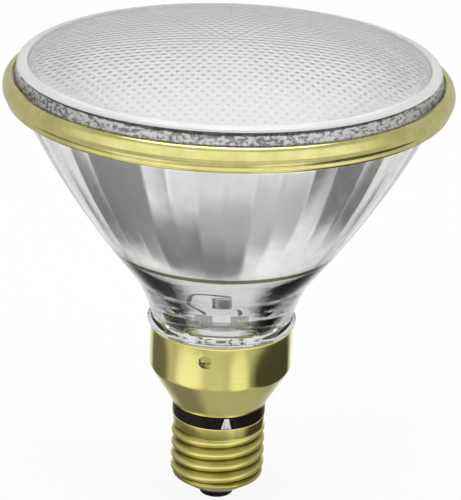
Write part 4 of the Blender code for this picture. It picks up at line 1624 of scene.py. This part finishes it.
@dataclass(frozen=True)
class Softbox:
    """An area lamp that looks at the bulb and doesn't show through its glass."""

    name: str
    place: tuple[float, float, float]
    width: float
    height: float
    power: float

    def hang(self, target: Vector) -> None:
        """Adds the lamp to the scene."""
        lamp = bpy.data.lights.new(self.name, "AREA")
        lamp.shape = "RECTANGLE"
        lamp.size = self.width
        lamp.size_y = self.height
        lamp.energy = self.power
        made = bpy.data.objects.new(self.name, lamp)
        made.location = self.place
        made.rotation_euler = (target - Vector(self.place)).to_track_quat("-Z", "Y").to_euler()
        made.visible_transmission = False
        bpy.context.scene.collection.objects.link(made)


class Mirror(Enum):
    """What a card is mirrored in."""

    GLASS = "glass"
    METAL = "metal"


@dataclass(frozen=True)
class Shade:
    """A soft patch on a floor card: painted shade where it is darker, painted highlight where it is lighter.

    Its distance and spread run out from the bulb's axis. Its azimuth and width are in degrees, from
    the side that faces the camera round to the right.
    """

    distance: float
    spread: float
    azimuth: float
    width: float
    tone: float
    firmness: float = 1.6


@dataclass(frozen=True)
class PaintedReflectionCard:
    """A round graded card under the bulb that only its glass or only its metal mirrors: a painted
    reflection, whose shades stand in for the bulb's shadow on the floor and for highlights.

    Its sweep is the card's section, as radius and height.
    """

    name: str
    seen_in: Mirror
    sweep: tuple[Point, ...]
    tone: float
    shades: tuple[Shade, ...]
    columns: int = 96

    def material(self) -> bpy.types.Material:
        """The card's own tone with each shade laid over it."""
        sheet = ShaderSheet.of(self.name)
        x, y, _ = sheet.axes()
        distance = (x * x + y * y) ** 0.5
        azimuth = sheet.maths("ARCTAN2", x, y * -1.0) * math.degrees(1.0)
        tone: Number = self.tone
        for shade in self.shades:
            along = (distance - shade.distance) / shade.spread
            across = (azimuth - shade.azimuth) / shade.width
            cover = (1.0 - along * along - across * across) * shade.firmness
            tone = cover.at_most(1.0).at_least(0.0) * (shade.tone - tone) + tone
        paint = sheet.blend(tone, (0.0,) * 3, (1.0,) * 3)
        # the card glows with its painted tone, though it is no lamp
        glow = sheet.node("ShaderNodeEmission", None, {"Color": paint, "Strength": 1.0})
        sheet.node("ShaderNodeOutputMaterial", None, {"Surface": glow.outputs[0]})
        return sheet.owner

    def lay(self) -> None:
        """Adds the card to the set."""
        shape = bmesh.new()
        turn(shape, self.sweep, self.columns)
        made = object_of(self.name, shape, self.material())
        made.visible_camera = False
        made.visible_diffuse = False
        made.visible_shadow = False
        made.visible_glossy = self.seen_in is Mirror.METAL
        made.visible_transmission = self.seen_in is Mirror.GLASS


@dataclass
class Studio:
    """The pale floor, the white surround, the soft lamps, the cards of painted reflection and the camera."""

    ambient: float = 0.55
    floor_size: float = 6.0
    floor_drop: float = 0.05 * MM
    floor_tone: float = 0.88
    floor_grain: float = 8 * MM
    grain_tone: float = 0.98
    white_share: float = 0.9
    mirror_share: float = 0.5
    target: tuple[float, float, float] = (0.0, 0.0, 0.07)
    camera_place: tuple[float, float, float] = (0.0, -0.6532, 0.3308)
    camera_yaw: float = 0.16
    camera_pitch: float = 21.47
    camera_roll: float = 1.93
    focal_pixels: float = 2566.0
    picture_height: int = 500
    film: float = 36.0
    clip: tuple[float, float] = (0.01, 20.0)
    softboxes: tuple[Softbox, ...] = (
        Softbox("key_softbox", (-1.1, -1.2, 1.7), 1.3, 1.3, 16.0),
        Softbox("fill_softbox", (1.4, -0.8, 1.2), 1.0, 1.4, 9.0),
        Softbox("top_softbox", (0.0, 0.3, 2.0), 1.6, 1.2, 12.0),
    )
    cards: tuple[PaintedReflectionCard, ...] = (
        # painted reflection for the glass: its dark shades are painted shadow of the bulb on the floor
        PaintedReflectionCard(
            "glass_painted_reflection_card",
            Mirror.GLASS,
            ((0.0, 0.0), (0.32, 0.0)),
            0.90,
            (
                Shade(0.098, 0.030, -8.0, 34.0, 0.70),
                Shade(0.072, 0.024, 6.0, 46.0, 0.38),
                Shade(0.092, 0.028, 42.0, 26.0, 0.46),
                Shade(0.040, 0.026, -8.0, 46.0, 0.18),
                Shade(0.062, 0.034, -50.0, 36.0, 0.16),
                Shade(0.118, 0.052, -82.0, 42.0, 0.19, 2.0),
                Shade(0.130, 0.042, 86.0, 34.0, 0.17, 1.8),
                Shade(0.0, 0.027, 0.0, 400.0, 0.85, 2.0),
            ),
        ),
        # painted reflection for the metal: painted highlights at tone 1.0 and painted shade where darker, on
        # the floor and on the upright wall
        PaintedReflectionCard(
            "metal_painted_reflection_card",
            Mirror.METAL,
            ((0.0, 0.0), (0.6, 0.0), (0.6, 0.35), (0.3, 0.7)),
            0.52,
            (
                Shade(0.60, 0.14, 0.0, 85.0, 1.0),
                Shade(0.30, 0.14, 6.0, 44.0, 0.74, 1.2),
                Shade(0.11, 0.09, 180.0, 60.0, 0.8),
                Shade(0.11, 0.09, -180.0, 60.0, 0.8),
                Shade(0.11, 0.09, -8.0, 22.0, 0.66, 1.2),
                Shade(0.11, 0.09, -47.0, 27.0, 1.0, 1.3),
                Shade(0.11, 0.09, 29.0, 18.0, 1.0, 1.3),
                Shade(0.11, 0.09, 94.0, 52.0, 0.06, 2.0),
                Shade(0.11, 0.09, -112.0, 30.0, 0.15, 1.6),
                Shade(0.0, 0.046, 0.0, 400.0, 0.44),
                Shade(0.0, 0.060, -90.0, 60.0, 0.22),
            ),
        ),
    )

    def build(self) -> None:
        """Sets everything up."""
        bpy.context.scene.view_settings.view_transform = "Standard"
        self.build_floor()
        self.build_world()
        for softbox in self.softboxes:
            softbox.hang(Vector(self.target))
        for card in self.cards:
            card.lay()
        self.build_camera()
        LOG.info("set: floor, surround, %d softboxes and %d cards", len(self.softboxes), len(self.cards))

    @staticmethod
    def seen_directly(sheet: ShaderSheet) -> tuple[Signal, Signal]:
        """Whether a ray comes from the camera, and whether metal or glass sent it."""
        path = sheet.node("ShaderNodeLightPath")
        mirrored = Signal(sheet, path.outputs["Is Glossy Ray"]).at_least(
            Signal(sheet, path.outputs["Is Transmission Ray"])
        )
        return Signal(sheet, path.outputs["Is Camera Ray"]), mirrored

    def build_floor(self) -> None:
        """The pale floor, which looks nearly white and keeps the bulb's shadow."""
        shape = bmesh.new()
        bmesh.ops.create_grid(shape, x_segments=8, y_segments=8, size=self.floor_size / 2)
        shape.transform(Matrix.Translation((0.0, 0.0, -self.floor_drop)))
        floor = object_of("floor", shape, self.floor_paper())

    def floor_paper(self) -> bpy.types.Material:
        """Pale paper that glows white to the camera and half as much in the bulb's mirrors."""
        sheet = ShaderSheet.of("floor_paper")
        grain = sheet.noise((self.floor_grain,) * 3, detail=3.0)
        tone = sheet.blend(grain, (self.floor_tone,) * 3, (self.floor_tone * self.grain_tone,) * 3)
        paper = sheet.node("ShaderNodeBsdfPrincipled", None, {"Base Color": tone, "Roughness": 0.9})
        glow = sheet.node("ShaderNodeEmission", None, {"Color": (1.0, 1.0, 1.0), "Strength": 1.0})
        camera, mirrored = self.seen_directly(sheet)
        share = camera * self.white_share + mirrored * (self.white_share * self.mirror_share)
        layers = {0: share, 1: paper.outputs[0], 2: glow.outputs[0]}
        mixed = sheet.node("ShaderNodeMixShader", None, layers)
        sheet.node("ShaderNodeOutputMaterial", None, {"Surface": mixed.outputs[0]})
        return sheet.owner

    def build_world(self) -> None:
        """A white surround that lights the bulb at a plain level."""
        world = bpy.data.worlds.new("surround")
        bpy.context.scene.world = world
        sheet = ShaderSheet(world)
        camera, mirrored = self.seen_directly(sheet)
        strength = self.ambient + camera.at_least(mirrored) * (1.0 - self.ambient)
        white = sheet.node("ShaderNodeBackground", None, {"Color": (1.0, 1.0, 1.0), "Strength": strength})
        sheet.node("ShaderNodeOutputWorld", None, {"Surface": white.outputs[0]})

    def build_camera(self) -> None:
        """The camera at the photograph's viewing angle."""
        yaw = math.radians(self.camera_yaw)
        pitch = math.radians(self.camera_pitch)
        roll = math.radians(self.camera_roll)
        level = math.cos(pitch)
        forward = Vector((math.sin(yaw) * level, math.cos(yaw) * level, -math.sin(pitch)))
        right = forward.cross(Vector((0, 0, 1))).normalized()
        up = right.cross(forward)
        rolled_right = right * math.cos(roll) + up * math.sin(roll)
        rolled_up = up * math.cos(roll) - right * math.sin(roll)
        turned = Matrix((rolled_right, rolled_up, -forward)).transposed().to_4x4()
        data = bpy.data.cameras.new("photo_camera")
        data.sensor_width = self.film
        data.lens = self.focal_pixels * self.film / self.picture_height
        data.clip_start, data.clip_end = self.clip
        camera = bpy.data.objects.new("photo_camera", data)
        camera.matrix_world = Matrix.Translation(self.camera_place) @ turned
        bpy.context.scene.collection.objects.link(camera)
        bpy.context.scene.camera = camera


def main() -> None:
    """Builds the set and dresses the bulb, from its base up."""
    logging.basicConfig(level=logging.INFO, format="%(name)s: %(message)s")
    for existing in list(bpy.data.objects):
        bpy.data.objects.remove(existing, do_unlink=True)
    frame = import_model()
    Studio().build()
    marks = Landmarks.read()
    finishes = Finishes()
    shop = Workshop()
    for maker in (ScrewBase, Skirt, PressedReflector, SealingRing, FrontLens):
        maker(marks, finishes, shop).build()
    Capsule(finishes, shop).build()
    InnerMetalwork(frame, finishes, shop).build()
    LOG.info("%d pieces made", len(shop.made))


if __name__ == "__main__":
    main()
